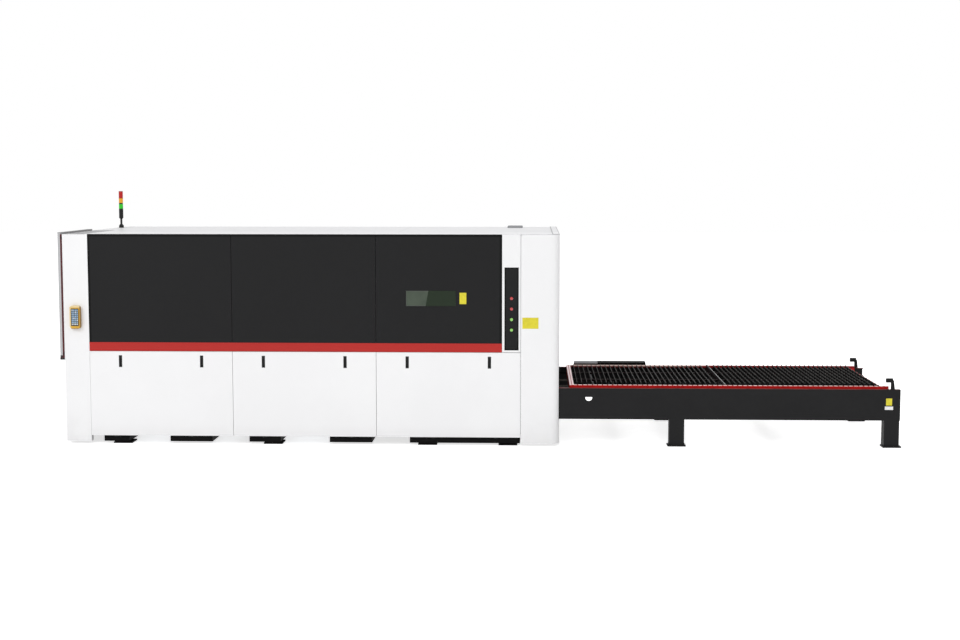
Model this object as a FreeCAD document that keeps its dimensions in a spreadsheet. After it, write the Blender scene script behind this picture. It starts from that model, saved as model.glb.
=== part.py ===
"""Enclosed fibre laser cutting machine with a two-level exchange table.

Machine frame used for the sizes: X runs along the machine from the left edge of the
dark front panels towards the exchange table, Y runs back from the plane of the front
panels, Z runs up from the floor.  The finished sub-parts are then placed so that the
origin is the middle of the whole machine's footprint, on the floor.
"""
import FreeCAD, Part
import math
import os
import re

import Sketcher

doc = FreeCAD.newDocument("fibre_laser_cutting_machine")

# ---------------------------------------------------------------- driving dimensions, mm
SIZES = {
    # enclosure
    "dark_panel_run": 4152,
    "indicator_run": 188,
    "left_column_width": 253,
    "portal_width": 387,
    "portal_proud": 16,
    "portal_corner_radius": 85,
    "enclosure_depth": 2450,
    "enclosure_height": 2120,
    "column_bottom": 25,
    "skirt_bottom": 86,
    "door_top": 941,
    "band_bottom": 945,
    "band_top": 1033,
    "panel_gap": 4,
    "inset_fit": 0.5,
    "casing_sheet": 4,
    "panel_thickness": 26,
    "panel_sheet": 2.5,
    "panel_return": 70,
    "roof_thickness": 3,
    # viewing window
    "window_inset": 459,
    "window_bottom": 1405,
    "window_width": 498,
    "window_height": 155,
    "window_glass": 8,
    # indicator column and its push buttons
    "inset_margin": 23,
    "inset_bottom": 965,
    "inset_top": 1793,
    "inset_depth": 6,
    "button_diameter": 30,
    "button_face": 21,
    "button_dome": 4,
    "button_dome_step": 1,
    "button_clearance": 0.4,
    "bezel_width": 5,
    "bezel_proud": 3,
    "button_proud": 9,
    "button_stem": 22,
    "button_first_height": 1169,
    "button_pitch": 105,
    # front doors
    "door_count": 3,
    "hinge_radius": 6,
    "hinge_pin_radius": 3,
    "pin_fit": 0.05,
    "hinge_knuckle": 40,
    "hinge_below_door": 10,
    "hinge_behind_door": 5,
    "hinge_leaf": 3,
    "hinge_leaf_height": 40,
    "hinge_inset": 240,
    "pull_width": 33,
    "pull_height": 120,
    "pull_mouth": 86,
    "pull_fit": 0.3,
    "pull_below_top": 40,
    "pull_from_edge": 310,
    "pull_depth": 18,
    "pull_wall": 3,
    # bed
    "bed_left": 40,
    "bed_end_gap": 67,
    "bed_front": 35,
    "bed_bottom": 297,
    "bed_shelf": 700,
    "bed_top": 860,
    "bed_shelf_width": 113,
    "bed_post_width": 90,
    "cross_beam_bottom": 22,
    "cross_beam_top": 100,
    "cross_beam_1_left": 120,
    "cross_beam_1_width": 260,
    "cross_beam_2_left": 795,
    "cross_beam_2_width": 430,
    "cross_beam_3_left": 1600,
    "cross_beam_3_width": 320,
    "cross_beam_4_inset": 2245,
    "cross_beam_4_width": 430,
    "cross_beam_5_inset": 1435,
    "cross_beam_5_width": 1110,
    "foot_1_x": 310,
    "foot_2_x": 1840,
    "foot_3_inset": 1257,
    "foot_4_inset": 447,
    "foot_plate": 190,
    "foot_thickness": 14,
    "foot_stem_radius": 22,
    "tray_height": 170,
    "tray_wall": 4,
    "tray_gap": 12,
    "tray_seat_gap": 0.3,
    # pallets and their two levels
    "pallet_gap": 105,
    "pallet_front": 102,
    "pallet_length": 3176,
    "pallet_width": 1660,
    "pallet_top": 609,
    "rim_height": 90,
    "rim_side": 30,
    "rim_left": 42,
    "pull_block_inset": 8,
    "pull_block_width": 25,
    "rim_groove": 6,
    "end_rail_left": 3084,
    "end_rail_width": 26,
    "end_rail_drop": 11,
    "level_step": 190,
    "exchange_travel": 3900,
    "slat_pitch": 50,
    "slats_left": 29,
    "slats_right": 30,
    "slat_to_beam": 75,
    "slat_thickness": 4,
    "slat_height": 70,
    "slat_proud": 11,
    "slat_tooth_height": 12,
    "slat_tooth_pitch": 130,
    "slat_end_gap": 2,
    "slat_seat_gap": 0.2,
    "slat_ear_gap": 5,
    "first_slat": 78,
    "support_bar": 8,
    "support_bar_height": 22,
    "support_bar_spread": 555,
    "support_bar_drop": 14,
    "centre_beam_width": 10,
    # pallet wheels
    "wheel_radius": 33,
    "wheel_width": 28,
    "wheel_gap": 12,
    "axle_radius": 10,
    "axle_height": 19,
    "axle_inset": 260,
    # exchange table
    "table_run": 3403,
    "table_front": 45,
    "table_plate": 10,
    "table_top": 582,
    "table_bottom": 271,
    "table_flange": 50,
    "flange_thickness": 5,
    "track_width": 42,
    "track_thickness": 8,
    "leg_width": 150,
    "leg_depth": 120,
    "mid_leg_gap": 1100,
    "end_leg_inset": 6,
    "leg_foot_thickness": 14,
    "leg_foot_overhang": 16,
    "leg_bolt_radius": 5.5,
    "leg_bolt_inset": 9,
    "tie_width": 90,
    "far_tie_gap": 1050,
    "sling_hole_gap": 261,
    "sling_hole_width": 68,
    "sling_hole_bottom": 454,
    "sling_hole_height": 40,
    "sling_hole_radius": 33,
    # chain drive of the exchange table
    "chain_pitch": 15.875,
    "sprocket_teeth": 12,
    "tooth_foot_share": 0.48,
    "tooth_tip_share": 0.2,
    "sprocket_width": 7,
    "chain_plate": 3,
    "chain_plate_height": 14,
    "chain_spread": 600,
    "drive_shaft_gap": 573,
    "idler_shaft_x": 860,
    "chain_height": 475,
    "shaft_radius": 18,
    "bearing_boss_radius": 29.4,
    "shaft_fit": 0.2,
    "shaft_end_gap": 1,
    "drive_shaft_reach": 76,
    "bearing_proud": 6,
    "drive_cover_gap": 194,
    "drive_cover_length": 795,
    "drive_cover_depth": 190,
    "drive_cover_low_bevel": 38,
    "drive_cover_high_bevel": 28,
    "drive_cover_top": 630,
    "drive_cover_bottom": 400,
    # end stops
    "stop_inset": 92,
    "stop_width": 36,
    "stop_tip_width": 25,
    "stop_depth": 29,
    "stop_edge_gap": 4,
    "stop_height": 113,
    "stop_head_overhang": 49,
    "stop_head_length": 65,
    "stop_head_radius": 22,
    # gate in the portal
    "gate_thickness": 20,
    "gate_height": 240,
    "gate_tongue": 65,
    "gate_travel": 265,
    "gate_low_bracket": 323,
    "gate_high_bracket": 469,
    "gate_lift_clearance": 8,
    "gate_side_clearance": 0.5,
    "port_margin": 9,
    "gate_guide_wall": 6,
    "gate_guide_cover": 15,
    "gate_setback": 20,
    "gate_bracket": 40,
    # gantry
    "gantry_home": 700,
    "gantry_width": 260,
    "gantry_height": 240,
    "gantry_ridge": 91,
    "gantry_shoulder": 144,
    "gantry_wall": 14,
    "beam_rail_inset": 36,
    "rail_width": 30,
    "rail_height": 28,
    "rail_inset": 45,
    "rail_end_gap": 100,
    "rack_width": 25,
    "rack_gap": 4,
    "saddle_length": 250,
    "saddle_height": 42,
    "running_gap": 0.4,
    "beam_rail_height": 18,
    "carriage_width": 220,
    "carriage_thickness": 34,
    "carriage_height": 300,
    "head_slide_width": 80,
    "head_slide_height": 340,
    "head_slide_thickness": 30,
    "head_rail_thickness": 12,
    "head_body_side": 80,
    "head_body_height": 210,
    "head_body_corner": 12,
    "head_slide_lift": 21,
    "head_barrel_radius": 36,
    "head_barrel_height": 110,
    "nozzle_radius": 20,
    "nozzle_tip_radius": 5,
    "nozzle_height": 62,
    "nozzle_shoulder": 37,
    "nozzle_standoff": 80,
    # left end sliding door
    "side_door_gap": 2,
    "side_door_inner": 18,
    "side_door_skin": 27,
    "side_door_width": 1060,
    "side_door_bottom": 877,
    "side_door_top": 2135,
    "side_door_cap": 24,
    "side_door_front": -2,
    "hatch_margin": 90,
    "door_rail_height": 24,
    "door_rail_reach": 12,
    # stack light
    "stack_x": -200,
    "stack_y": 2010,
    "stack_radius": 23.5,
    "stack_foot_radius": 27,
    "stack_foot_height": 24,
    "stack_foot_taper": 20,
    "stack_pole_radius": 11.5,
    "stack_pole_height": 54,
    "stack_taper": 14,
    "stack_body_height": 103,
    "lens_height": 53,
    "top_lens_height": 79,
    "lens_gap": 12,
    "lens_edge": 2,
    # pendant
    "pendant_left": -180,
    "pendant_bottom": 1171,
    "pendant_width": 105,
    "pendant_height": 232,
    "pendant_hook_low": 68,
    "pendant_hook_height": 90,
    "pendant_depth": 44,
    "pendant_corner": 26,
    "pendant_off_wall": 6,
    "keypad_proud": 2,
    "keypad_margin": 14,
    "keypad_end_margin": 29,
    "keypad_corner": 9,
    # rear and roof
    "port_radius": 150,
    "port_wall": 4,
    "port_length": 80,
    "port_seat": 2,
    "port_x": 700,
    "port_z": 520,
    "cable_box_width": 170,
    "cable_box_depth": 300,
    "cable_box_height": 20,
    "cable_box_bevel": 6,
    "gate_cap_inset": 77,
    "gate_cap_width": 72,
    "gate_cap_height": 4,
}

# places that follow from the sizes: what stands at the gate end goes with the portal
PLACES = {
    "portal_right": "dark_panel_run + indicator_run + portal_width",
    "window_left": "dark_panel_run - window_inset - window_width",
    "bed_right": "portal_right - bed_end_gap",
    "cross_beam_4_left": "bed_right - cross_beam_4_inset",
    "cross_beam_5_left": "bed_right - cross_beam_5_inset",
    "foot_3_x": "bed_right - foot_3_inset",
    "foot_4_x": "bed_right - foot_4_inset",
    "cable_box_left": "dark_panel_run + indicator_run - cable_box_width",
    "pallet_left": "portal_right + pallet_gap",
    "mid_leg_left": "portal_right + mid_leg_gap",
    "sling_hole_left": "portal_right + sling_hole_gap",
    "drive_shaft_x": "portal_right + drive_shaft_gap",
    "drive_cover_left": "portal_right + drive_cover_gap",
}

sheet = doc.addObject("Spreadsheet::Sheet", "dims")
cells = list(SIZES.items()) + [(alias, "=" + text) for alias, text in PLACES.items()]
for row, (alias, entry) in enumerate(cells, start=1):
    sheet.set(f"A{row}", alias)
    sheet.set(f"B{row}", str(entry))
    sheet.setAlias(f"B{row}", alias)
doc.recompute()


def size(alias):
    """The value that the sheet holds for one driving dimension."""
    return float(sheet.get(alias))


FUNCTIONS = ("cos", "sin", "tan", "min", "max", "sqrt")


def ex(text):
    """An expression on the sheet, from one written with plain size names."""
    def named(match):
        word = match.group(0)
        return word if word in FUNCTIONS else f"dims.{word}"
    return re.sub(r"\b[a-z_]+[a-z_0-9]*\b", named, str(text))


def bind(obj, prop, text):
    """Ties a property to the sheet."""
    obj.setExpression(prop, ex(text))


# the middle of the whole footprint, in the machine frame
FRONT_RUN = "(dark_panel_run + indicator_run)"
RIGHT_END = f"({FRONT_RUN} + portal_width + table_run)"
LEFT_END = "(left_column_width + side_door_gap + side_door_inner + side_door_skin)"
MIDDLE_X = f"(({RIGHT_END} - {LEFT_END}) / 2)"
FRONT_END = "(pendant_depth + pendant_off_wall + keypad_proud)"
BACK_END = "(enclosure_depth + port_length)"
MIDDLE_Y = f"(({BACK_END} - {FRONT_END}) / 2)"
ORIGIN = (MIDDLE_X, MIDDLE_Y, "0")

# lines that several pieces share
PALLET_MIDDLE_Y = "(pallet_front + pallet_width / 2)"
TABLE_BACK = f"(2 * {PALLET_MIDDLE_Y} - table_front)"
BED_BACK = f"(2 * {PALLET_MIDDLE_Y} - bed_front)"
RIM_BOTTOM = "(pallet_top - rim_height)"
AXLE_Z = f"({RIM_BOTTOM} + axle_height)"
TRACK_TOP = f"({AXLE_Z} - wheel_radius - running_gap)"
LOW_TRACK_TOP = f"({TRACK_TOP} - level_step)"
SLAT_TOP = "(pallet_top + slat_proud)"
BEAM_PLACE = "(first_slat + (slats_left - 1) * slat_pitch + slat_to_beam)"
CASING_TOP = "(enclosure_height - roof_thickness)"

sub_parts = []


def put(obj, x="0", y="0", z="0", base=("0", "0", "0")):
    """Places an object, with the position tied to the sheet."""
    for axis, text, origin in zip("xyz", (x, y, z), base):
        obj.setExpression(f"Placement.Base.{axis}", ex(f"({text}) - ({origin})"))
    return obj


def finish(obj, label, x="0", y="0", z="0"):
    """Names a finished sub-part and moves it from the machine frame to the part's frame."""
    obj.Label = label
    put(obj, x, y, z, ORIGIN)
    sub_parts.append(obj)
    return obj


def box(x, y, z, length, width, height):
    """A block from its low corner and its three lengths."""
    block = doc.addObject("Part::Box", "Block")
    bind(block, "Length", length)
    bind(block, "Width", width)
    bind(block, "Height", height)
    return put(block, x, y, z)


TURNS = {
    "x": FreeCAD.Rotation(FreeCAD.Vector(0, 1, 0), 90),
    "y": FreeCAD.Rotation(FreeCAD.Vector(1, 0, 0), -90),
    "z": FreeCAD.Rotation(),
}


def rod(axis, x, y, z, radius, length):
    """A round bar along an axis from the centre of its low end."""
    bar = doc.addObject("Part::Cylinder", "Rod")
    bind(bar, "Radius", radius)
    bind(bar, "Height", length)
    bar.Placement = FreeCAD.Placement(FreeCAD.Vector(), TURNS[axis])
    return put(bar, x, y, z)


def fuse(*pieces):
    """Pieces welded into one."""
    joined = doc.addObject("Part::MultiFuse", "Weld")
    joined.Shapes = list(pieces)
    joined.Refine = True
    return joined


def cut(base, *tools):
    """A piece with the tools' shapes taken out of it."""
    left = doc.addObject("Part::Cut", "Cut")
    left.Base = base
    left.Tool = tools[0] if len(tools) == 1 else fuse(*tools)
    left.Refine = True
    return left


def group(*pieces):
    """Separate like pieces that share one sub-part."""
    together = doc.addObject("Part::Compound", "Group")
    together.Links = list(pieces)
    return together


def origin_plane(body, role):
    """One of a body's own base planes."""
    return next(p for p in body.Origin.OriginFeatures if p.Role == role)


def sketch_polygon(body, role, corners, name="Profile", behind=None):
    """A closed outline on a base plane, each corner tied to the sheet by its two distances."""
    sketch = body.newObject("Sketcher::SketchObject", name)
    sketch.AttachmentSupport = [(origin_plane(body, role), "")]
    sketch.MapMode = "FlatFace"
    if behind is not None:
        sketch.setExpression("AttachmentOffset.Base.z", ex(f"-({behind})"))
    values = [[measure(u), measure(v)] for u, v in corners]
    count = len(corners)
    for n in range(count):
        start = FreeCAD.Vector(*values[n], 0)
        end = FreeCAD.Vector(*values[(n + 1) % count], 0)
        sketch.addGeometry(Part.LineSegment(start, end))
    for n in range(count):
        sketch.addConstraint(Sketcher.Constraint("Coincident", n, 2, (n + 1) % count, 1))
    for n, corner in enumerate(corners):
        for kind, text, value, axis in zip(("DistanceX", "DistanceY"), corner, values[n], (-2, -1)):
            if text == "0":
                sketch.addConstraint(Sketcher.Constraint("PointOnObject", n, 1, axis))
                continue
            index = sketch.addConstraint(Sketcher.Constraint(kind, -1, 1, n, 1, value))
            sketch.setExpression(f"Constraints[{index}]", ex(text))
    return sketch


def measure(text):
    """The present value of an expression on the sheet."""
    value = sheet.evalExpression(ex(text))
    return float(getattr(value, "Value", value))


def pad(body, sketch, length, reverse=False):
    """The outline drawn out into a solid."""
    drawn = body.newObject("PartDesign::Pad", "Pad")
    drawn.Profile = sketch
    bind(drawn, "Length", length)
    drawn.Reversed = reverse
    sketch.Visibility = False
    return drawn


def extrusion(role, corners, length, reverse=False):
    """A body whose section is a polygon."""
    body = doc.addObject("PartDesign::Body", "Body")
    pad(body, sketch_polygon(body, role, corners), length, reverse)
    return body


def rectangle(u, v, width, height):
    """The corners of a rectangle from its low corner."""
    return [
        (u, v),
        (f"{u} + {width}", v),
        (f"{u} + {width}", f"{v} + {height}"),
        (u, f"{v} + {height}"),
    ]


def pocket(body, role, corners, depth=None, reverse=False, behind=None):
    """A window through a body, or a recess of a given depth, which must take material."""
    doc.recompute()
    before = body.Shape.Volume
    sketch = sketch_polygon(body, role, corners, "Window", behind)
    hole = body.newObject("PartDesign::Pocket", "Pocket")
    hole.Profile = sketch
    hole.Reversed = reverse
    if depth is None:
        hole.Type = "ThroughAll"
        hole.Midplane = True
    else:
        bind(hole, "Length", depth)
    doc.recompute()
    if body.Shape.Volume >= before - 1:
        raise RuntimeError(f"a pocket of {body.Label} cuts nothing")
    return hole


def folded_panel(width, height):
    """A sheet panel with its four edges folded back, open behind."""
    t = "panel_sheet"
    panel = extrusion("XZ_Plane", rectangle("0", "0", width, height), "panel_thickness", True)
    pocket(panel, "XZ_Plane", rectangle(t, t, f"{width} - 2 * {t}", f"{height} - 2 * {t}"),
           "panel_thickness", behind=t)
    return panel


def revolve(role, corners, axis):
    """A body turned from a half section about an axis of its sketch."""
    body = doc.addObject("PartDesign::Body", "Body")
    sketch = sketch_polygon(body, role, corners)
    turned = body.newObject("PartDesign::Revolution", "Turned")
    turned.Profile = sketch
    turned.ReferenceAxis = (sketch, [axis])
    turned.Angle = 360
    return body


def fillet(body, radius, wanted):
    """Rounds the edges of a body that a test picks."""
    doc.recompute()
    names = []
    for n, edge in enumerate(body.Shape.Edges, start=1):
        if wanted(edge):
            names.append(f"Edge{n}")
    if not names:
        raise RuntimeError(f"no edge of {body.Label} to round")
    sharp = body.Tip
    rounded = body.newObject("PartDesign::Fillet", "Fillet")
    rounded.Base = (sharp, names)
    bind(rounded, "Radius", radius)
    return rounded


def along(edge, direction):
    """Whether an edge is straight and runs along a direction."""
    if edge.Curve.TypeId != "Part::GeomLine":
        return False
    return abs(edge.tangentAt(edge.FirstParameter).dot(direction)) > 1 - TOUCH


Y_AXIS = FreeCAD.Vector(0, 1, 0)
Z_AXIS = FreeCAD.Vector(0, 0, 1)
TOUCH = 0.01


# ---------------------------------------------------------------- enclosure: fixed casing
def column_channel(width, height, return_depth="panel_return"):
    """A folded sheet channel: a front web and two edges turned back."""
    t = "casing_sheet"
    outline = [
        ("0", "0"),
        (width, "0"),
        (width, return_depth),
        (f"{width} - {t}", return_depth),
        (f"{width} - {t}", t),
        (t, t),
        (t, return_depth),
        ("0", return_depth),
    ]
    return extrusion("XY_Plane", outline, height)


def make_left_column():
    column = column_channel("left_column_width", f"{CASING_TOP} - column_bottom")
    hook = box("pendant_left + pendant_width / 4 + left_column_width", "-pendant_off_wall",
               "pendant_bottom + pendant_hook_low - column_bottom",
               "pendant_width / 2", "pendant_off_wall + casing_sheet / 2", "pendant_hook_height")
    finish(fuse(column, hook), "left_column", "-left_column_width", "0", "column_bottom")


# the two rails of the left end's door, which run in grooves of its inner layer
DOOR_RAIL_HEIGHTS = (
    "(side_door_bottom + door_rail_height)",
    "(enclosure_height - 2 * door_rail_height)",
)


def make_left_side_wall():
    length = "enclosure_depth - panel_return - panel_gap"
    wall = extrusion("YZ_Plane", rectangle("0", "0", length, f"{CASING_TOP} - column_bottom"),
                     "casing_sheet")
    hatch = rectangle(
        "hatch_margin", "side_door_bottom + hatch_margin - column_bottom",
        "side_door_width - 2 * hatch_margin - panel_return",
        "side_door_top - side_door_bottom - 2 * hatch_margin",
    )
    pocket(wall, "YZ_Plane", hatch)
    run = "2 * side_door_width - hatch_margin"
    rails = [
        box("-side_door_gap - door_rail_reach", "0", f"{z} - column_bottom",
            "side_door_gap + door_rail_reach", run, "door_rail_height")
        for z in DOOR_RAIL_HEIGHTS
    ]
    finish(fuse(wall, *rails), "left_side_wall", "-left_column_width",
           "panel_return + panel_gap", "column_bottom")


def make_side_door():
    x = "-left_column_width - side_door_gap"
    height = "side_door_top - side_door_bottom"
    slab = box(f"{x} - side_door_inner", "side_door_front", "side_door_bottom",
               "side_door_inner", "side_door_width", height)
    grooves = [
        box(f"{x} - door_rail_reach - running_gap", "side_door_front - 1",
            f"{z} - side_door_gap", "door_rail_reach + 2", "side_door_width + 2",
            "door_rail_height + 2 * side_door_gap")
        for z in DOOR_RAIL_HEIGHTS
    ]
    inner = cut(slab, *grooves)
    cap = box(f"{x} - side_door_inner - side_door_skin", "side_door_front",
              "side_door_bottom - side_door_cap",
              "side_door_inner + side_door_skin", "side_door_width", "side_door_cap")
    finish(fuse(inner, cap), "side_door_inner")
    skin = extrusion("YZ_Plane", rectangle("0", "0", "side_door_width", height), "side_door_skin")
    fillet(skin, "side_door_skin / 4",
           lambda e: along(e, Z_AXIS) and e.CenterOfMass.x < 1)
    finish(skin, "side_door_skin", f"{x} - side_door_inner - side_door_skin",
           "side_door_front", "side_door_bottom")


def make_front_panels():
    third = f"{FRONT_RUN} / door_count"
    height = f"{CASING_TOP} - band_top"
    spans = [
        ("front_panel_left", "0", f"{third} - panel_gap / 2"),
        ("front_panel_middle", f"{third} + panel_gap / 2", f"{third} - panel_gap"),
        ("front_panel_right", f"2 * {third} + panel_gap / 2",
         f"dark_panel_run - 2 * {third} - panel_gap / 2"),
    ]
    for label, left, width in spans:
        panel = folded_panel(width, height)
        if label == "front_panel_right":
            pocket(panel, "XZ_Plane", rectangle(
                f"window_left - ({left})", "window_bottom - band_top",
                "window_width", "window_height"))
        finish(panel, label, left, "0", "band_top")
    glass = extrusion("XZ_Plane", rectangle("0", "0", "window_width - 1", "window_height - 1"),
                      "window_glass", True)
    finish(glass, "viewing_window", "window_left + 0.5", "2", "window_bottom + 0.5")
    band = box("0", "-2", "band_bottom", "dark_panel_run", "panel_thickness + 2",
               "band_top - band_bottom - 0.5")
    finish(group(band), "front_red_band")


def button_heights():
    return [f"button_first_height + {n} * button_pitch" for n in range(4)]


def make_indicator_column():
    width = "indicator_run"
    x = "dark_panel_run"
    column = column_channel(f"{width} - panel_gap", f"{CASING_TOP} - band_bottom",
                            "panel_thickness")
    recess = rectangle("inset_margin", "inset_bottom - band_bottom",
                       f"{width} - 2 * inset_margin", "inset_top - inset_bottom")
    pocket(column, "XZ_Plane", recess)
    finish(column, "indicator_column", f"{x} + panel_gap / 2", "0", "band_bottom")

    left = f"({x} + panel_gap / 2 + inset_margin + inset_fit)"
    centre = f"({width} / 2 - inset_margin - inset_fit)"
    plate = extrusion("XZ_Plane", rectangle(
        "0", "0", f"{width} - 2 * inset_margin - 2 * inset_fit",
        "inset_top - inset_bottom - 2 * inset_fit"),
        "inset_depth", True)
    rings = []
    holes = []
    for height in button_heights():
        z = f"{height} - inset_bottom - inset_fit"
        ring = rod("y", centre, "-bezel_proud", z,
                   "button_diameter / 2 + button_clearance + bezel_width", "bezel_proud + 1")
        hole = rod("y", centre, "-2 * bezel_proud", z,
                   "button_diameter / 2 + button_clearance", "inset_depth + 4 * bezel_proud")
        rings.append(ring)
        holes.append(hole)
    finish(cut(fuse(plate, *rings), *holes), "indicator_panel", left, "inset_fit",
           "inset_bottom + inset_fit")

    names = ("button_green_lower", "button_green_upper", "button_red_lower", "button_red_upper")
    for label, height in zip(names, button_heights()):
        r = "(button_diameter / 2)"
        # a domed cap on a plain stem, turned about the press direction
        section = [
            ("0", "0"),
            ("button_face / 2", "button_dome_step"),
            (r, "button_dome"),
            (r, "button_stem + button_proud"),
            ("0", "button_stem + button_proud"),
        ]
        button = revolve("XY_Plane", section, "V_Axis")
        finish(button, label, f"{left} + {centre}", "inset_fit - button_proud", height)


def hinged(door, left, first):
    """A door with the leaves and bored knuckles of its two hinges on its lower edge."""
    pieces = [door]
    bores = []
    y = HINGE_Y
    z = "(0 - hinge_below_door)"
    for middle in hinge_places()[first:first + 2]:
        start = f"({middle} - {left} - hinge_knuckle / 2)"
        pieces.append(rod("x", start, y, z, "hinge_radius", "hinge_knuckle"))
        pieces.append(box(start, "panel_thickness - 1", z, "hinge_knuckle",
                          "hinge_leaf + 1", "hinge_below_door + hinge_leaf_height"))
        bores.append(rod("x", f"{start} - 1", y, z, "hinge_pin_radius + pin_fit",
                         "hinge_knuckle + 2"))
    return cut(fuse(*pieces), *bores)


def make_front_doors():
    third = f"({FRONT_RUN} / door_count)"
    height = "(door_top - skirt_bottom)"
    width = f"({third} - panel_gap)"
    names = ("left", "middle", "right")
    slot_z = f"({height} - pull_below_top - pull_height)"
    for n, side in enumerate(names):
        left = f"({n} * {third} + panel_gap / 2)"
        door = folded_panel(width, height)
        slots = ["pull_from_edge - pull_width / 2",
                 f"{width} - pull_from_edge - pull_width / 2"]
        for u in slots:
            pocket(door, "XZ_Plane", rectangle(u, slot_z, "pull_width", "pull_height"),
                   "pull_depth + 2 * pull_fit")
        finish(hinged(door, left, 2 * n), f"front_door_{side}", left, "0", "skirt_bottom")
        pulls = []
        for u in slots:
            # a cup that fills the slot, open to the front
            cup = cut(
                box(f"{u} + pull_fit", "-1", f"{slot_z} + pull_fit",
                    "pull_width - 2 * pull_fit", "pull_depth + 1",
                    "pull_height - 2 * pull_fit"),
                box(f"{u} + pull_wall", "-2", f"{slot_z} + pull_wall",
                    "pull_width - 2 * pull_wall", "pull_depth - pull_wall + 2",
                    "pull_mouth"),
            )
            pulls.append(cup)
        finish(group(*pulls), f"door_pulls_{side}", left, "0", "skirt_bottom")


def make_portal():
    t = "casing_sheet"
    width = "(portal_width - panel_gap)"
    depth = "(enclosure_depth + portal_proud)"
    lip = "bed_front + portal_proud - panel_gap"
    # front web, right wall and rear return of one folded casing, seen from above
    outline = [
        ("0", "0"),
        (width, "0"),
        (width, depth),
        ("0", depth),
        ("0", f"{depth} - {t}"),
        (f"{width} - {t}", f"{depth} - {t}"),
        (f"{width} - {t}", t),
        (t, t),
        (t, lip),
        ("0", lip),
    ]
    casing = extrusion("XY_Plane", outline, f"{CASING_TOP} - column_bottom")
    right = measure(width)
    front_corner = (right, 0)
    inner_corner = (right - size("casing_sheet"), size("casing_sheet"))

    def at(corner):
        return lambda e: (along(e, Z_AXIS) and abs(e.CenterOfMass.x - corner[0]) < TOUCH
                          and abs(e.CenterOfMass.y - corner[1]) < TOUCH)
    fillet(casing, "portal_corner_radius", at(front_corner))
    fillet(casing, f"portal_corner_radius - {t}", at(inner_corner))
    # the port that the pallets pass through
    low = "(table_front - port_margin + portal_proud)"
    port = rectangle(low, "table_bottom - gate_lift_clearance - column_bottom",
                     f"{TABLE_BACK} + port_margin + portal_proud - {low}",
                     "table_top + gate_height - 3 * gate_lift_clearance"
                     " - table_bottom + gate_lift_clearance")
    cutter = extrusion("YZ_Plane", port, "portal_width")
    put(cutter, "portal_width / 2")
    finish(cut(casing, cutter), "portal_casing", f"{FRONT_RUN} + panel_gap", "-portal_proud",
           "column_bottom")


def make_gate():
    low = "(table_front + table_plate + track_width + 2 * gate_lift_clearance)"
    half_wide = f"({TABLE_BACK} / 2 - table_front / 2 + gate_guide_cover)"
    half_tongue = f"({PALLET_MIDDLE_Y} - {low})"
    outline = [
        (f"{half_wide} - {half_tongue}", "0"),
        (f"{half_wide} + {half_tongue}", "0"),
        (f"{half_wide} + {half_tongue}", "gate_tongue"),
        (f"2 * {half_wide}", "gate_tongue"),
        (f"2 * {half_wide}", "gate_tongue + gate_height"),
        ("0", "gate_tongue + gate_height"),
        ("0", "gate_tongue"),
        (f"{half_wide} - {half_tongue}", "gate_tongue"),
    ]
    gate = extrusion("YZ_Plane", outline, "gate_thickness")
    closed = "(table_top + gate_lift_clearance - gate_tongue)"
    wall = f"(portal_right - casing_sheet)"
    side = "gate_side_clearance"
    outer = f"({wall} - gate_setback)"
    x = f"({outer} - gate_guide_wall - {side} - gate_thickness)"
    finish(gate, "gate", x, f"{PALLET_MIDDLE_Y} - {half_wide}",
           f"{closed} + gate_travel")
    # a channel on the casing wall round each side edge of the gate
    guides = []
    run = "gate_height + gate_travel + 2 * gate_lift_clearance"
    width = f"gate_thickness + 2 * {side} + 2 * gate_guide_wall"
    z = f"({closed} + gate_tongue)"
    for sign in (-1, 1):
        edge = f"({PALLET_MIDDLE_Y} + {sign} * {half_wide})"
        back = f"({edge} + {sign} * ({side} + gate_guide_wall / 2) - gate_guide_wall / 2)"
        cover = (f"({edge} - ({sign}) * (gate_guide_cover - {side}) / 2"
                 f" - (gate_guide_cover + {side}) / 2)")
        rail = [
            box(f"{outer} - ({width})", back, z, width, "gate_guide_wall", run),
            box(f"{outer} - ({width})", cover, z, "gate_guide_wall",
                f"gate_guide_cover + {side}", run),
            box(f"{outer} - gate_guide_wall", cover, z, "gate_guide_wall",
                f"gate_guide_cover + {side}", run),
        ]
        # brackets hold the channel off the wall, clear of the casing's round corner
        inset = "(portal_corner_radius - portal_proud)"
        start = "(gate_guide_cover - 1)"
        for height in ("gate_low_bracket", "gate_high_bracket"):
            low = f"{z} + {height}"
            for left, length, near, far in (
                (f"{outer} - gate_guide_wall", "gate_guide_wall", start,
                 f"{inset} + gate_bracket"),
                (outer, "gate_setback", inset, f"{inset} + gate_bracket"),
            ):
                reach = f"({far} - {near})"
                y = f"({edge} - ({sign}) * ({near} + {reach} / 2) - {reach} / 2)"
                rail.append(box(left, y, low, length, reach, "gate_bracket"))
        guides.append(fuse(*rail))
    finish(group(*guides), "gate_guides")


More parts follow.
